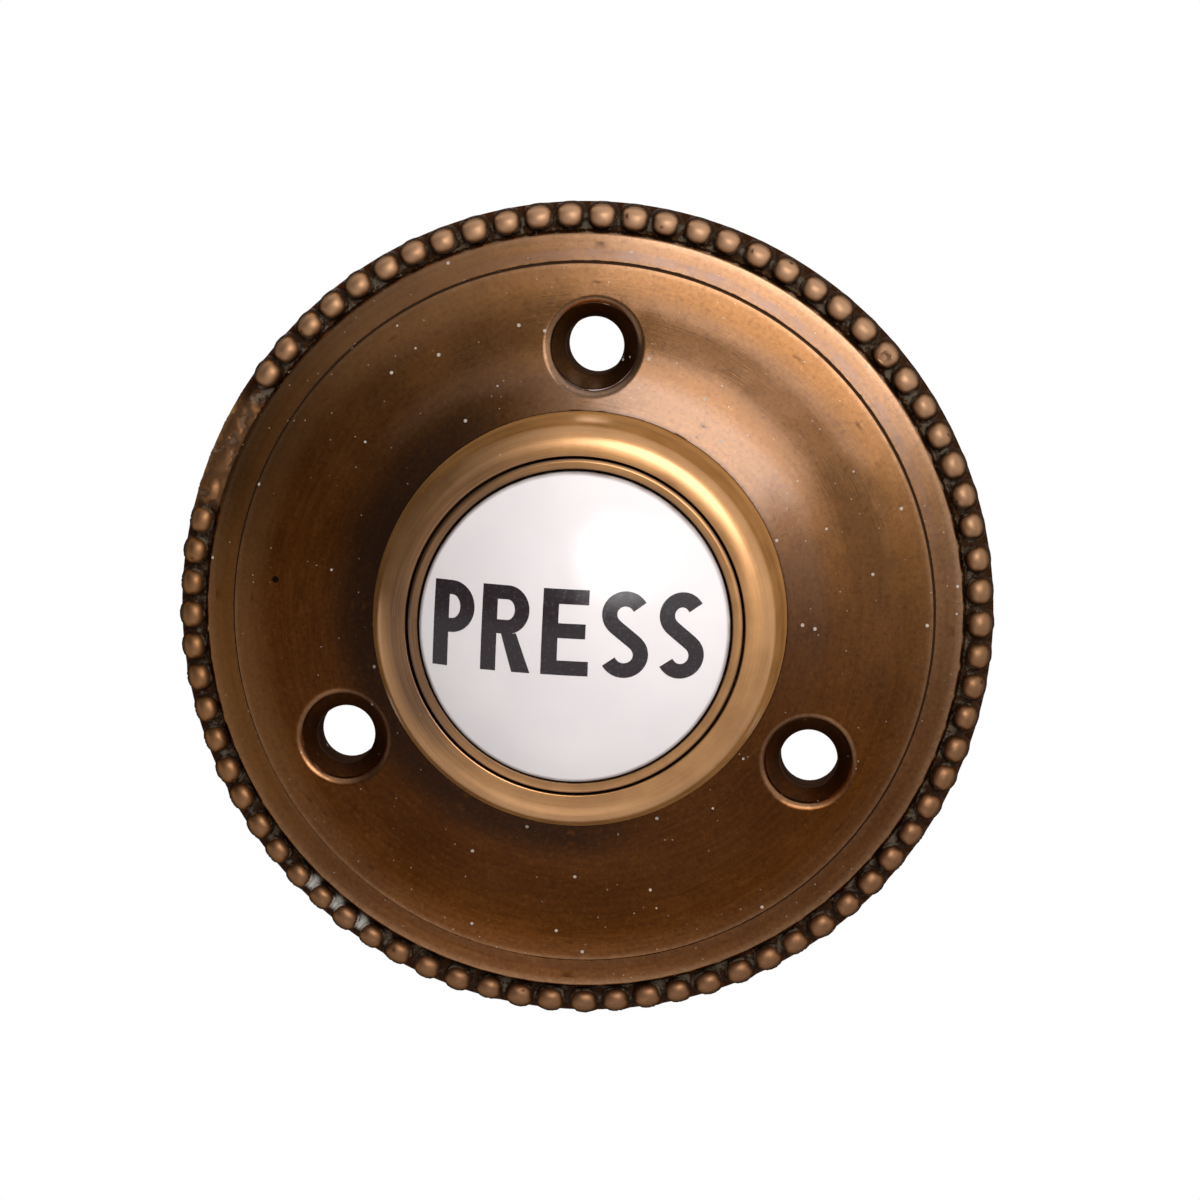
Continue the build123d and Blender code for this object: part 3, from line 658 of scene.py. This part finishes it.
def front_points():
    """Plan points of the front with the height, the grime and painted shade, and the rub and painted light
    of each.
    """
    rows = []

    def profile_at(r):
        return float(np.interp(r, PROFILE[:, 0], PROFILE[:, 1]))

    def ground(x, z):
        r = math.hypot(x, z)
        h = profile_at(r)
        angle = math.atan2(z, x)
        turn = math.degrees(angle) % 360
        worn = smooth(*WORN_FADE_IN, turn) * smooth(*WORN_FADE_OUT, turn) if r > WORN_IN_R else 0.0
        h += worn * max(0.0, WORN_H - WORN_SLOPE * (r - WORN_IN_R) - h) * smooth(37.7, 36.6, r)
        pit = worn * smooth(0.16, 0.34, noise.noise(Vector((x * 1.1, z * 1.1, 4.2))))
        h -= 0.2 * pit
        fade = smooth(SPOT_R, SPOT_R + 1.0, r) * smooth(PLATE_R, PLATE_R - 1.0, r)
        h += wobble(x, z) * fade
        g = 0.35 * smooth(0.4, 0.0, r - SPOT_R) if r >= SPOT_R else 1.0
        g = max(g, (0.8 - 0.75 * worn) * smooth(35.15, 35.4, r), 0.95 * pit)
        # Darker round the collar's foot on the left and below: painted shade with some patina. Darker over
        # the lower field towards the bottom: painted shade.
        shade = smooth(0.25, 0.7, away_from(angle, math.radians(20)))
        low = smooth(0.35, 0.9, away_from(angle, math.radians(80)))
        g = max(g, 0.88 * shade * smooth(25.5, 20.2, r), 0.3 * low * smooth(30.0, 24.0, r))
        b = 0.5 * smooth(0.5, 0.0, abs(r - 32.3)) + 0.6 * smooth(0.5, 0.0, abs(r - 34.9))
        shoulder_end, band = smooth(32.6, 32.4, r), smooth(33.0, 34.0, r)
        b += 0.12 * (smooth(29.5, 31.8, r) * shoulder_end) + 0.25 * band
        # Lighter shoulder and band at the upper left: painted light.
        left = smooth(0.45, 0.95, away_from(angle, -0.45))
        b += left * (0.28 * (smooth(28.5, 31.8, r) * shoulder_end) + 0.22 * band)
        b *= smooth(35.3, 35.1, r)
        b = max(b, 0.28 * worn)
        return h, g, b

    def ring(r, count, shift=0.0):
        for k in range(count):
            a = TAU * (k + shift) / count
            x, z = r * math.cos(a), r * math.sin(a)
            if any(math.hypot(x - hx, z - hz) < LIP_CLEAR for hx, hz in HOLES):
                continue
            if CHANNEL_R < r < PLATE_R and any(bead_share(b, x, z) < 1.05 for b in BEADS):
                continue
            rows.append((x, z, *ground(x, z)))

    inner = sorted(set(round(float(r), 4) for r in PROFILE[:, 0] if r < FIELD_IN[0]))
    inner += list(np.linspace(SPOT_R + 0.12, COVE_BEND_R - 2.1, 9))
    middle = list(np.linspace(FIELD_IN[0], FIELD_OUT[0], 12))[1:]
    outer = sorted(set(round(float(r), 4) for r in PROFILE[:, 0] if FIELD_OUT[0] < r <= CHANNEL_R))
    for r in inner:
        ring(r, INNER_POINTS)
    for r in middle + outer:
        ring(r, OUTER_POINTS)
    for r, count in CHANNEL_RINGS:
        ring(r, count, 0.5)
    for x, z, r in EDGE:
        h, g, b = ground(x, z)
        rows.append((x, z, max(h, EDGE_PEAK_H * (r - EDGE_FOOT_R) / (PLATE_R - EDGE_FOOT_R)), g, b))

    for hx, hz in HOLES:
        for d in HOLE_RINGS:
            for k in range(HOLE_POINTS):
                a = TAU * k / HOLE_POINTS
                x, z = hx + d * math.cos(a), hz + d * math.sin(a)
                h, g, b = ground(x, z)
                lip = max(0.0, (LIP_OUT - d) / (LIP_OUT - LIP_IN))
                cone = SINK_H - (SINK_R - d)
                height = cone if d < LIP_IN else h - LIP_DROP * lip**LIP_POWER
                stain = 0.52 + 0.35 * noise.noise(Vector((x * 0.8, z * 0.8, 2.6)))
                sunk, bored = smooth(4.08, 3.94, d), smooth(3.0, 2.7, d)
                g = max(g * smooth(0.9, 0.2, lip), stain * sunk, bored)
                b = max(b, 0.85 * (smooth(4.02, 4.08, d) * smooth(4.58, 4.3, d)))
                rows.append((x, z, height, g, b))

    for i, (turn, bead_ring, deep, wide, tall, worn, crater) in enumerate(BEADS):
        c, s = math.cos(turn), math.sin(turn)
        bx, bz = bead_ring * c, bead_ring * s
        for share, count in BEAD_ROWS:
            for k in range(count):
                a = TAU * (k + 0.5 * (count % 2)) / count
                ca, sa = math.cos(a), math.sin(a)
                span = (abs(ca) / deep) ** BEAD_SQUARE + (abs(sa) / wide) ** BEAD_SQUARE
                reach = share / span ** (1 / BEAD_SQUARE)
                u, v = reach * ca, reach * sa
                x, z = bx + u * c - v * s, bz + u * s + v * c
                base, ground_grime_and_painted_shade, ground_rub_and_painted_light = ground(x, z)
                base = max(base, REBATE_H - 0.5 * share)
                dome = max(0.0, 1 - share**2.4) ** 0.58
                lump = 0.05 * noise.noise(Vector((x * 1.3, z * 1.3, i * 1.9)))
                if worn:
                    lump += 0.30 * tall * noise.noise(Vector((x * 0.9, z * 0.9, 1.7)))
                    dome = max(0.0, 1 - share**2.0) ** 2
                if crater:
                    pit = math.hypot(x - bx + 0.12, z - bz + 0.2)
                    lump -= 0.62 * smooth(0.62, 0.18, pit)
                h = base + dome * (tall + lump - BEAD_LEAN * u)
                g = smooth(0.80, 0.93, share)
                # Bead tops are rubbed, and made lighter towards the top of the ring as painted light.
                b = smooth(0.45, 0.85, dome) * (0.32 + 0.68 * max(0.0, math.sin(turn + 0.1)))
                if worn:
                    outline = smooth(0.80, 0.98, share) * smooth(-0.3, 0.4, u / deep)
                    g = max(ground_grime_and_painted_shade, 0.8 * outline)
                    b = ground_rub_and_painted_light
                else:
                    # The outer side of each bead is darkened and made matt: painted shade.
                    g = max(g, smooth(0.45, 0.75, u / deep) * smooth(0.93, 0.7, dome))
                if crater:
                    g = max(g, smooth(0.66, 0.3, pit))
                rows.append((x, z, h, g, b))
    return rows


def back_points():
    """Plan points of the hollow back with the height of each."""
    rows = []

    def height(x, z):
        r = math.hypot(x, z)
        if any(math.hypot(x - hx, z - hz) <= BOSS_R - 0.01 for hx, hz in HOLES):
            return 0.0
        if r <= HUB_R:
            return HUB_BACK
        if r < CAVITY_R - 0.01:
            return HUB_BACK + (CAVITY_H - HUB_BACK) * (r - HUB_R) / (CAVITY_R - HUB_R) + 0.05 * noise.noise(
                Vector((x * 0.4, z * 0.4, 5.0))) * smooth(HUB_R, HUB_R + 1, r)
        return 0.12 * smooth(EDGE_FOOT_R - 0.2, EDGE_FOOT_R, r)

    for r, count in BACK_RINGS:
        for k in range(count):
            a = TAU * k / count
            x, z = r * math.cos(a), r * math.sin(a)
            if any(math.hypot(x - hx, z - hz) < BOSS_R + 0.2 for hx, hz in HOLES):
                continue
            rows.append((x, z, height(x, z)))
    for hx, hz in HOLES:
        for d in (HOLE_R, 3.4, BOSS_R - 0.02, BOSS_R, BOSS_R + 0.12):
            for k in range(HOLE_POINTS):
                a = TAU * k / HOLE_POINTS
                x, z = hx + d * math.cos(a), hz + d * math.sin(a)
                rows.append((x, z, 0.0 if d < BOSS_R - 0.01 else height(x, z)))
    for x, z, r in EDGE:
        x, z = x * EDGE_FOOT_R / r, z * EDGE_FOOT_R / r
        rows.append((x, z, height(x, z)))
    return rows


def plan_triangles(points):
    """Triangles over plan points, without those in the bore, in a fixing hole or past the outer edge."""
    _, _, tris, origin, _, _ = delaunay_2d_cdt([Vector((p[0], p[1])) for p in points], [], [], 0, 1e-5)
    keep = []
    for t in tris:
        ids = [origin[i][0] for i in t]
        x = sum(points[i][0] for i in ids) / 3
        z = sum(points[i][1] for i in ids) / 3
        if math.hypot(x, z) < BORE_R * 0.9998 or beyond_edge(x, z):
            continue
        if any(math.hypot(x - hx, z - hz) < HOLE_R * 0.9995 for hx, hz in HOLES):
            continue
        keep.append(ids)
    return keep


def loop_of(points, test, centre):
    """Indices of the points that pass the test, in order of angle about the centre."""

    def angle(i):
        return round(math.atan2(points[i][1] - centre[1], points[i][0] - centre[0]), 6)

    return sorted((i for i, p in enumerate(points) if test(p)), key=angle)


def wall(a, b):
    """Faces between two loops of as many points."""
    n = len(a)
    return [(a[i], a[(i + 1) % n], b[(i + 1) % n], b[i]) for i in range(n)]


def build_rose():
    front, back = front_points(), back_points()
    shift = len(front)
    verts = [(p[0], -p[2], p[1]) for p in front] + [(p[0], -p[2], p[1]) for p in back]
    faces = plan_triangles(front) + [[i + shift for i in t] for t in plan_triangles(back)]
    edge = {(x, z) for x, z, _ in EDGE} | {(x * EDGE_FOOT_R / r, z * EDGE_FOOT_R / r) for x, z, r in EDGE}
    loops = [
        (lambda p: abs(math.hypot(p[0], p[1]) - BORE_R) < 1e-3, (0, 0)),
        (lambda p: (p[0], p[1]) in edge, (0, 0)),
    ]
    loops += [(lambda p, h=h: abs(math.hypot(p[0] - h[0], p[1] - h[1]) - HOLE_R) < 1e-3, h) for h in HOLES]
    for test, centre in loops:
        f = loop_of(front, test, centre)
        b = [i + shift for i in loop_of(back, test, centre)]
        faces += wall(f, b)
    obj = new_object("rose", verts, faces, brass_old, "housing", "antique_brass", ("rose_plate",))
    return obj, front


def set_marks(obj, marks):
    """Writes the grime and painted shade, and the rub and painted light, of each vertex from a function of
    its place in millimetres.
    """
    values = [marks(v.co / MM) for v in obj.data.vertices]
    for k, name in enumerate(("grime_and_painted_shade", "rub_and_painted_light")):
        layer = obj.data.attributes.new(name, "FLOAT", "POINT")
        layer.data.foreach_set("value", [float(v[k]) for v in values])


rose, front_rows = build_rose()
front_marks = {(round(p[0], 3), round(p[1], 3), round(p[2], 3)): (p[3], p[4]) for p in front_rows}


def rose_marks(co):
    key = (round(co.x, 3), round(co.z, 3), round(-co.y, 3))
    bore = any(math.hypot(co.x - hx, co.z - hz) < HOLE_R + 0.02 for hx, hz in HOLES)
    return front_marks.get(key, (1.0 if bore else 0.45, 0.0))


set_marks(rose, rose_marks)


# Bezel barrel, ferrule and cap are turned from their profiles with softened edges
TURNED_SEGMENTS = 220
CAP_SEGMENTS = 200
CREST = (15.52, 16.04)
MOUTH = (15.4, 15.86)
COLLAR_FOOT_R = 18.97
SPIGOT_R, SPIGOT_BACK = 18.1, 2.7
SEAT_R, SEAT_H = 17.05, 6.4
GROOVE_R, GROOVE_LOW, GROOVE_HIGH = 17.5, 3.7, 4.4
BARREL_R, STOP_H = 16.25, 13.6
FERRULE_R, FERRULE_BORE, FLANGE_R, PIN_BORE = 15.18, 14.25, 15.95, 1.55
FERRULE_BACK, FERRULE_FLOOR, FERRULE_RIM = 12.65, 13.55, 16.2
CAP_R, POCKET_R, POCKET_H, AXIS_R = 14.05, 3.4, 14.75, 0.02
DOME_R = 23.0
DOME_TOP = 21.66


def bezier(p0, p1, p2, p3, steps):
    t = np.linspace(0, 1, steps + 1)[:, None]
    a, b, c, d = (np.array(q, float) for q in (p0, p1, p2, p3))
    curve = (1 - t) ** 3 * a + 3 * t * (1 - t) ** 2 * b + 3 * t * t * (1 - t) * c + t**3 * d
    return [tuple(q) for q in curve]


def bezel_profile():
    crown = bezier(CREST, (18.35, 16.0), (18.75, 14.5), (COLLAR_FOOT_R, 8.1), 30)
    lip = tangent_arc(CREST, (-1, -0.02), MOUTH, 6)
    body = rounded(
        [(COLLAR_FOOT_R, 8.1), (COLLAR_FOOT_R, SPOT_H), (SPIGOT_R, SPOT_H), (SPIGOT_R, SPIGOT_BACK),
         (SEAT_R, SPIGOT_BACK), (SEAT_R, GROOVE_LOW), (GROOVE_R, GROOVE_LOW), (GROOVE_R, GROOVE_HIGH),
         (SEAT_R, GROOVE_HIGH), (SEAT_R, SEAT_H), (BARREL_R, SEAT_H), (BARREL_R, STOP_H),
         (MOUTH[0], STOP_H), MOUTH],
        [0, 0, 0, 0.15, 0.1, 0, 0, 0, 0.1, 0, 0, 0, 0.1, 0], 6,
    )
    return crown[:-1] + [tuple(q) for q in body] + [tuple(q) for q in lip[:0:-1]][1:]


def dense(profile, step):
    """The closed profile with long straight runs divided."""
    out = []
    for (r0, h0), (r1, h1) in zip(profile, profile[1:] + profile[:1]):
        n = max(1, int(math.hypot(r1 - r0, h1 - h0) / step))
        out += [(r0 + (r1 - r0) * k / n, h0 + (h1 - h0) * k / n) for k in range(n)]
    return out


bezel = new_object(
    "bezel", *lathe(dense(bezel_profile(), 0.5), TURNED_SEGMENTS), brass_gold, "housing", "golden_brass",
    ("bezel_barrel",),
)


def bezel_marks(co):
    r, h = math.hypot(co.x, co.z), -co.y
    foot = smooth(8.9, 8.1, h) if r > 18.2 else 0.0
    # The inner lip beside the gap is darkened: painted shade.
    lip = smooth(16.03, 15.9, h) if r < 15.51 else 0.0
    return max(0.3 * foot, 0.9 * lip, 0.5 if h < 8 else 0.0), 0.0


set_marks(bezel, bezel_marks)


def ferrule_profile():
    shape = rounded(
        [(PIN_BORE, FERRULE_BACK), (FLANGE_R, FERRULE_BACK), (FLANGE_R, FERRULE_FLOOR),
         (FERRULE_R, FERRULE_FLOOR), (FERRULE_R, 16.0), (14.95, FERRULE_RIM), (FERRULE_BORE, FERRULE_RIM),
         (FERRULE_BORE, FERRULE_FLOOR), (PIN_BORE, FERRULE_FLOOR), (PIN_BORE, FERRULE_BACK)],
        [0, 0.1, 0.1, 0, 0.15, 0.15, 0.12, 0, 0, 0], 4,
    )
    return [tuple(q) for q in shape[:-1]]


ferrule = new_object(
    "ferrule", *lathe(dense(ferrule_profile(), 0.8), TURNED_SEGMENTS), brass_gold, "button", "golden_brass",
    ("button_ferrule",),
)


def ferrule_marks(co):
    r, h = math.hypot(co.x, co.z), -co.y
    # The seam at the cap is a dark joint; the outer side facing the collar and the part below the collar's
    # lip are darkened as painted shade in the gap.
    seam_and_gap_shade = max(smooth(0.22, 0.0, r - FERRULE_BORE), smooth(0.16, 0.0, FERRULE_R - r))
    return max(0.75 * seam_and_gap_shade, smooth(15.9, 15.2, h)), 0.0


set_marks(ferrule, ferrule_marks)


def dome_height(r):
    return DOME_TOP - DOME_R + math.sqrt(DOME_R**2 - r * r)


def cap_profile():
    dome = [(r, dome_height(r)) for r in np.linspace(AXIS_R, 13.6, 60)]
    rim = rounded(
        [dome[-1], (13.85, 17.02), (CAP_R, 16.75), (CAP_R, FERRULE_FLOOR), (POCKET_R, FERRULE_FLOOR),
         (POCKET_R, POCKET_H), (AXIS_R, POCKET_H)],
        [0, 0.35, 0.35, 0.1, 0, 0, 0], 5,
    )
    return dome[:-1] + [tuple(q) for q in rim]


new_object("cap", *lathe(cap_profile(), CAP_SEGMENTS), glaze, "button", "porcelain", ("button_cap",))


# Lettering: plain sans capitals of even stroke, laid on the dome as a thin print
STROKE = 0.172
OUTLINE_STEP = 0.16
FILL_STEP = 0.3
FILL_MARGIN = 0.12
# Heights of the front and the back of the print over the dome
PRINT_LIFTS = (0.016, -0.05)


def stroke_path(points, width):
    """Outline of a line of even width through the points."""
    pts = np.array(points, float)
    d = np.gradient(pts, axis=0)
    d /= np.linalg.norm(d, axis=1)[:, None]
    n = np.stack((-d[:, 1], d[:, 0]), 1) * width / 2
    return np.vstack((pts + n, (pts - n)[::-1]))


def arc_points(cx, cy, rx, ry, start, end, count):
    t = np.radians(np.linspace(start, end, count))
    return np.stack((cx + rx * np.cos(t), cy + ry * np.sin(t)), 1)


def letter_e(w):
    s = STROKE
    stem, low, high = s * 1.08, 0.5 - s / 2 + 0.02, 0.5 + s / 2 + 0.02
    return [np.array([(0, 0), (w, 0), (w, s), (stem, s), (stem, low), (w * 0.92, low), (w * 0.92, high),
                      (stem, high), (stem, 1 - s), (w * 0.97, 1 - s), (w * 0.97, 1), (0, 1)])]


def bowl(w, low):
    """Outer and inner outline of the closed bowl of P and R, from low to the top."""
    s = STROKE
    mid, half = (1 + low) / 2, (1 - low) / 2
    wide, stem, thin = half * 0.92, s * 1.05, s * 0.94
    flat = w - wide
    outer = np.vstack(([(0, low)], arc_points(flat, mid, wide, half, -90, 90, 26), [(0, 1)]))
    curve = arc_points(flat, mid, wide - s, half - thin, -90, 90, 22)
    inner = np.vstack(([(stem, low + thin)], curve, [(stem, 1 - thin)]))
    return outer, inner


def letter_p(w):
    outer, inner = bowl(w, 0.40)
    stem = np.array([(0, 0), (STROKE * 1.05, 0), (STROKE * 1.05, 0.40)])
    return [np.vstack((stem, outer[1:])), inner]


def letter_r(w):
    outer, inner = bowl(w * 0.95, 0.44)
    s = STROKE
    foot = np.array([(0, 0), (s * 1.05, 0), (s * 1.05, 0.44), (w * 0.40, 0.44), (w - s * 1.25, 0), (w, 0),
                     (w * 0.70, 0.455)])
    return [np.vstack((foot, outer[2:])), inner]


def letter_s(w):
    s = STROKE
    rx = w / 2 - s / 2
    top = arc_points(w / 2, 0.735, rx * 0.95, 0.265 - s / 2, 28, 232, 26)
    low = arc_points(w / 2, 0.27, rx, 0.27 - s / 2, 52, -154, 26)
    mid = np.array([top[-1] * (1 - t) + low[0] * t for t in np.linspace(0, 1, 10)[1:-1]])
    path = np.vstack((top, mid, low))
    for _ in range(3):
        path[1:-1] = (path[:-2] + 2 * path[1:-1] + path[2:]) / 4
    return [stroke_path(path, s)]


# Each letter: outline, left edge, width, foot and height on the dome
LETTERS = [
    (letter_p, -12.62, 3.78, -3.86, 7.75),
    (letter_r, -8.12, 4.55, -3.86, 7.75),
    (letter_e, -2.60, 4.25, -3.86, 7.75),
    (letter_s, 2.62, 4.35, -3.90, 7.85),
    (letter_s, 7.72, 4.15, -3.90, 7.85),
]


def inside(loops, x, y):
    """True for a point inside an odd number of the loops."""
    odd = False
    for loop in loops:
        a, b = loop, np.roll(loop, -1, axis=0)
        hit = (a[:, 1] > y) != (b[:, 1] > y)
        with np.errstate(divide="ignore", invalid="ignore"):
            cross = a[:, 0] + (y - a[:, 1]) * (b[:, 0] - a[:, 0]) / (b[:, 1] - a[:, 1])
        odd ^= bool(np.count_nonzero(hit & (x < cross)) % 2)
    return odd


def split_loop(loop, step):
    """The closed loop with its long sides divided."""
    out = []
    for p, q in zip(loop, np.roll(loop, -1, axis=0)):
        n = max(1, int(np.linalg.norm(q - p) / step))
        out += [p + (q - p) * k / n for k in range(n)]
    return np.array(out)


def build_lettering():
    verts, faces = [], []
    for shape, left, width, foot, tall in LETTERS:
        loops = [split_loop(loop * tall + (left, foot), OUTLINE_STEP) for loop in shape(width / tall)]
        points, edges = [], []
        for loop in loops:
            start = len(points)
            points += [tuple(p) for p in loop]
            edges += [(start + k, start + (k + 1) % len(loop)) for k in range(len(loop))]
        for gx in np.arange(left, left + width + 0.1, FILL_STEP):
            for gz in np.arange(foot, foot + tall + 0.1, FILL_STEP):
                gap = min(np.min(np.hypot(loop[:, 0] - gx, loop[:, 1] - gz)) for loop in loops)
                if gap > FILL_MARGIN and inside(loops, gx, gz):
                    points.append((gx, gz))
        got, _, tris, _, _, _ = delaunay_2d_cdt([Vector(p) for p in points], edges, [], 0, 1e-6)
        base = len(verts)
        count = len(got)
        for lift in PRINT_LIFTS:
            verts += [(v.x, -(dome_height(math.hypot(v.x, v.y)) + lift), v.y) for v in got]
        used = {}
        for t in tris:
            x = sum(got[i].x for i in t) / 3
            z = sum(got[i].y for i in t) / 3
            if not inside(loops, x, z):
                continue
            faces.append([base + i for i in t])
            faces.append([base + count + i for i in reversed(t)])
            for i, j in zip(t, t[1:] + t[:1]):
                used[(i, j)] = True
        for i, j in used:
            if (j, i) not in used:
                faces.append((base + j, base + i, base + count + i, base + count + j))
    return new_object("lettering", verts, faces, ink, "button", sharp=math.radians(50))


build_lettering()


# Return spring: flat wire, drawn as a scene mesh with a mesh of its own
def build_spring():
    turns, radius, low, high = 3.0, 13.65, 6.72, 12.33
    across, along = 0.5, 0.3
    corners = [(-across, -along), (across, -along), (across, along), (-across, along), (-across, -along)]
    section = rounded(corners, [0, 0.1, 0.1, 0.1, 0], 2)[:-1]
    steps = 240
    verts, faces = [], []
    n = len(section)
    for k in range(steps + 1):
        t = k / steps
        a = TAU * turns * t
        h = low + (high - low) * t
        verts += [((radius + u) * math.cos(a), -(h + v), (radius + u) * math.sin(a)) for u, v in section]
    for k in range(steps):
        for i in range(n):
            j = (i + 1) % n
            faces.append((k * n + i, k * n + j, (k + 1) * n + j, (k + 1) * n + i))
    faces.append(tuple(range(n)))
    faces.append(tuple(range(steps * n, (steps + 1) * n))[::-1])
    return new_object("spring_coil", verts, faces, steel, "housing", "steel", ("return_spring",))


spring = build_spring()
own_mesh(spring)

# The other CAD nodes keep their shapes and get finishes and softened edges
FINISH = {
    "lock_washer": (steel, 0.08), "ring_nut": (brass_plain, 0.12), "plunger_pin": (brass_plain, 0.06),
    "insulating_bush": (fibre, 0.05), "contact_disc": (brass_plain, 0.06),
    "insulating_washer": (fibre, 0.05), "e_clip": (steel, 0.05), "contact_base": (phenolic, 0.12),
    "snap_ring": (steel, 0.08), "left_contact": (brass_plain, 0.05), "right_contact": (brass_plain, 0.05),
    "contact_tips": (silver, 0.08), "terminal_screws": (brass_plain, 0.10),
    "terminal_washers": (brass_plain, 0.06), "terminal_nuts": (brass_plain, 0.08),
}
for name, (finish, edge) in FINISH.items():
    obj = nodes[name]
    obj.data.materials.clear()
    obj.data.materials.append(finish)
    obj.data.polygons.foreach_set("use_smooth", [True] * len(obj.data.polygons))
    weld = obj.modifiers.new("weld", "WELD")
    weld.merge_threshold = 1e-6
    soft = obj.modifiers.new("soft_edges", "BEVEL")
    soft.width = edge * MM
    soft.segments = 2
    soft.limit_method = "ANGLE"
    soft.angle_limit = math.radians(40)
    soft.harden_normals = True

# Stage: a plain pale floor below, soft light from the upper right, and the camera.
# The part is fixed to a wall at about the height of a hand, so the floor lies a metre below it.
scene = bpy.context.scene
scene.view_settings.view_transform = "Standard"
FLOOR_DROP = 1.05
FLOOR_HALF = 20.0


def build_floor():
    mesh = bpy.data.meshes.new("floor")
    half, z = FLOOR_HALF, cad_low.z - FLOOR_DROP
    corners = [(-half, -half, z), (half, -half, z), (half, half, z), (-half, half, z)]
    mesh.from_pydata(corners, [], [(0, 1, 2, 3)])
    floor = bpy.data.objects.new("floor", mesh)
    scene.collection.objects.link(floor)
    m, g, shader = material("floor_pale")
    coord = g.add("ShaderNodeTexCoord").outputs["Object"]
    pale = g.mix(g.noise(coord, 6.0, 3.0, 0.5), (0.80, 0.80, 0.80), (0.83, 0.83, 0.83))
    g.link(pale, shader.inputs["Base Color"])
    shader.inputs["Roughness"].default_value = 0.9
    # Away from the part the floor runs out into the white of the background
    split = g.add("ShaderNodeSeparateXYZ")
    g.link(coord, split.inputs[0])
    path = g.add("ShaderNodeLightPath").outputs
    mirrored = g.most(path["Is Glossy Ray"], path["Is Transmission Ray"])
    behind = g.times(mirrored, g.ramp(split.outputs[1], 0.3, 1.6))
    away = g.ramp(g.vec("LENGTH", g.vec("MULTIPLY", coord, (1, 1, 0))), 0.5, 2.0)
    white = g.most(g.times(path["Is Camera Ray"], away), behind)
    glow = g.add("ShaderNodeEmission")
    blend = g.add("ShaderNodeMixShader")
    g.link(white, blend.inputs[0])
    g.link(shader.outputs[0], blend.inputs[1])
    g.link(glow.outputs[0], blend.inputs[2])
    g.link(blend.outputs[0], m.node_tree.nodes["Material Output"].inputs[0])
    mesh.materials.append(m)


build_floor()

# The world is white to the camera and to mirrors behind the part, and lights it from the upper right
WHITE = (1.0, 1.0, 1.0)
world = bpy.data.worlds.new("soft_room")
scene.world = world
world.use_nodes = True
world.node_tree.nodes.clear()
wt = Graph(world.node_tree)
background = wt.add("ShaderNodeBackground")
wt.link(background.outputs[0], wt.add("ShaderNodeOutputWorld").inputs[0])
direction = wt.add("ShaderNodeTexCoord").outputs["Generated"]
compass = wt.add("ShaderNodeSeparateXYZ")
wt.link(direction, compass.inputs[0])
across = wt.vec("DOT_PRODUCT", direction, (0.75, 0.0, 0.66))
room = wt.mix(wt.ramp(across, -0.15, 0.75), (0.10, 0.098, 0.10), WHITE)
ray = wt.add("ShaderNodeLightPath").outputs
mirrored = wt.most(ray["Is Glossy Ray"], ray["Is Transmission Ray"])
behind = wt.times(mirrored, wt.ramp(compass.outputs[1], 0.45, 0.75))
white = wt.most(ray["Is Camera Ray"], behind)
wt.link(wt.mix(white, room, WHITE), background.inputs[0])
background.inputs[1].default_value = 1.0


def lamp(name, towards, distance, size, power):
    """A white area lamp that looks at the part from the direction given."""
    light = bpy.data.lights.new(name, "AREA")
    light.shape = "ELLIPSE"
    light.size, light.size_y = size
    light.energy = power
    obj = bpy.data.objects.new(name, light)
    d = Vector(towards).normalized()
    obj.location = d * distance
    obj.rotation_euler = d.to_track_quat("Z", "Y").to_euler()
    scene.collection.objects.link(obj)


lamp("key", (0.27, -0.84, 0.47), 0.60, (0.44, 0.44), 2.55)
lamp("fill", (-0.14, -0.58, -0.80), 0.60, (0.40, 0.40), 0.22)
lamp("side", (-0.36, -0.84, 0.40), 0.60, (0.25, 0.25), 0.065)
lamp("behind", (-0.35, 0.85, 0.55), 0.9, (0.6, 0.6), 4.5)

CAMERA_AZ, CAMERA_EL, CAMERA_ROLL = 3.383, 6.148, 2.615
CAMERA_DISTANCE = 0.5
FOCAL_PX = 5361.0
ORIGIN_PX = (586.18, 607.92)
IMAGE = 1200.0
SENSOR = 36.0

a, e = math.radians(CAMERA_AZ), math.radians(CAMERA_EL)
back = Vector((math.sin(a) * math.cos(e), -math.cos(a) * math.cos(e), math.sin(e)))
camera = bpy.data.cameras.new("camera")
camera.sensor_width = SENSOR
camera.sensor_fit = "HORIZONTAL"
camera.lens = FOCAL_PX / IMAGE * SENSOR
camera.shift_x = (IMAGE / 2 - ORIGIN_PX[0]) / IMAGE
camera.shift_y = (ORIGIN_PX[1] - IMAGE / 2) / IMAGE
camera.clip_start = 0.01
eye = bpy.data.objects.new("camera", camera)
scene.collection.objects.link(eye)
roll = Matrix.Rotation(math.radians(CAMERA_ROLL), 4, "Z")
turn = back.to_track_quat("Z", "Y").to_matrix().to_4x4() @ roll
eye.matrix_world = Matrix.Translation(back * CAMERA_DISTANCE) @ turn
scene.camera = eye
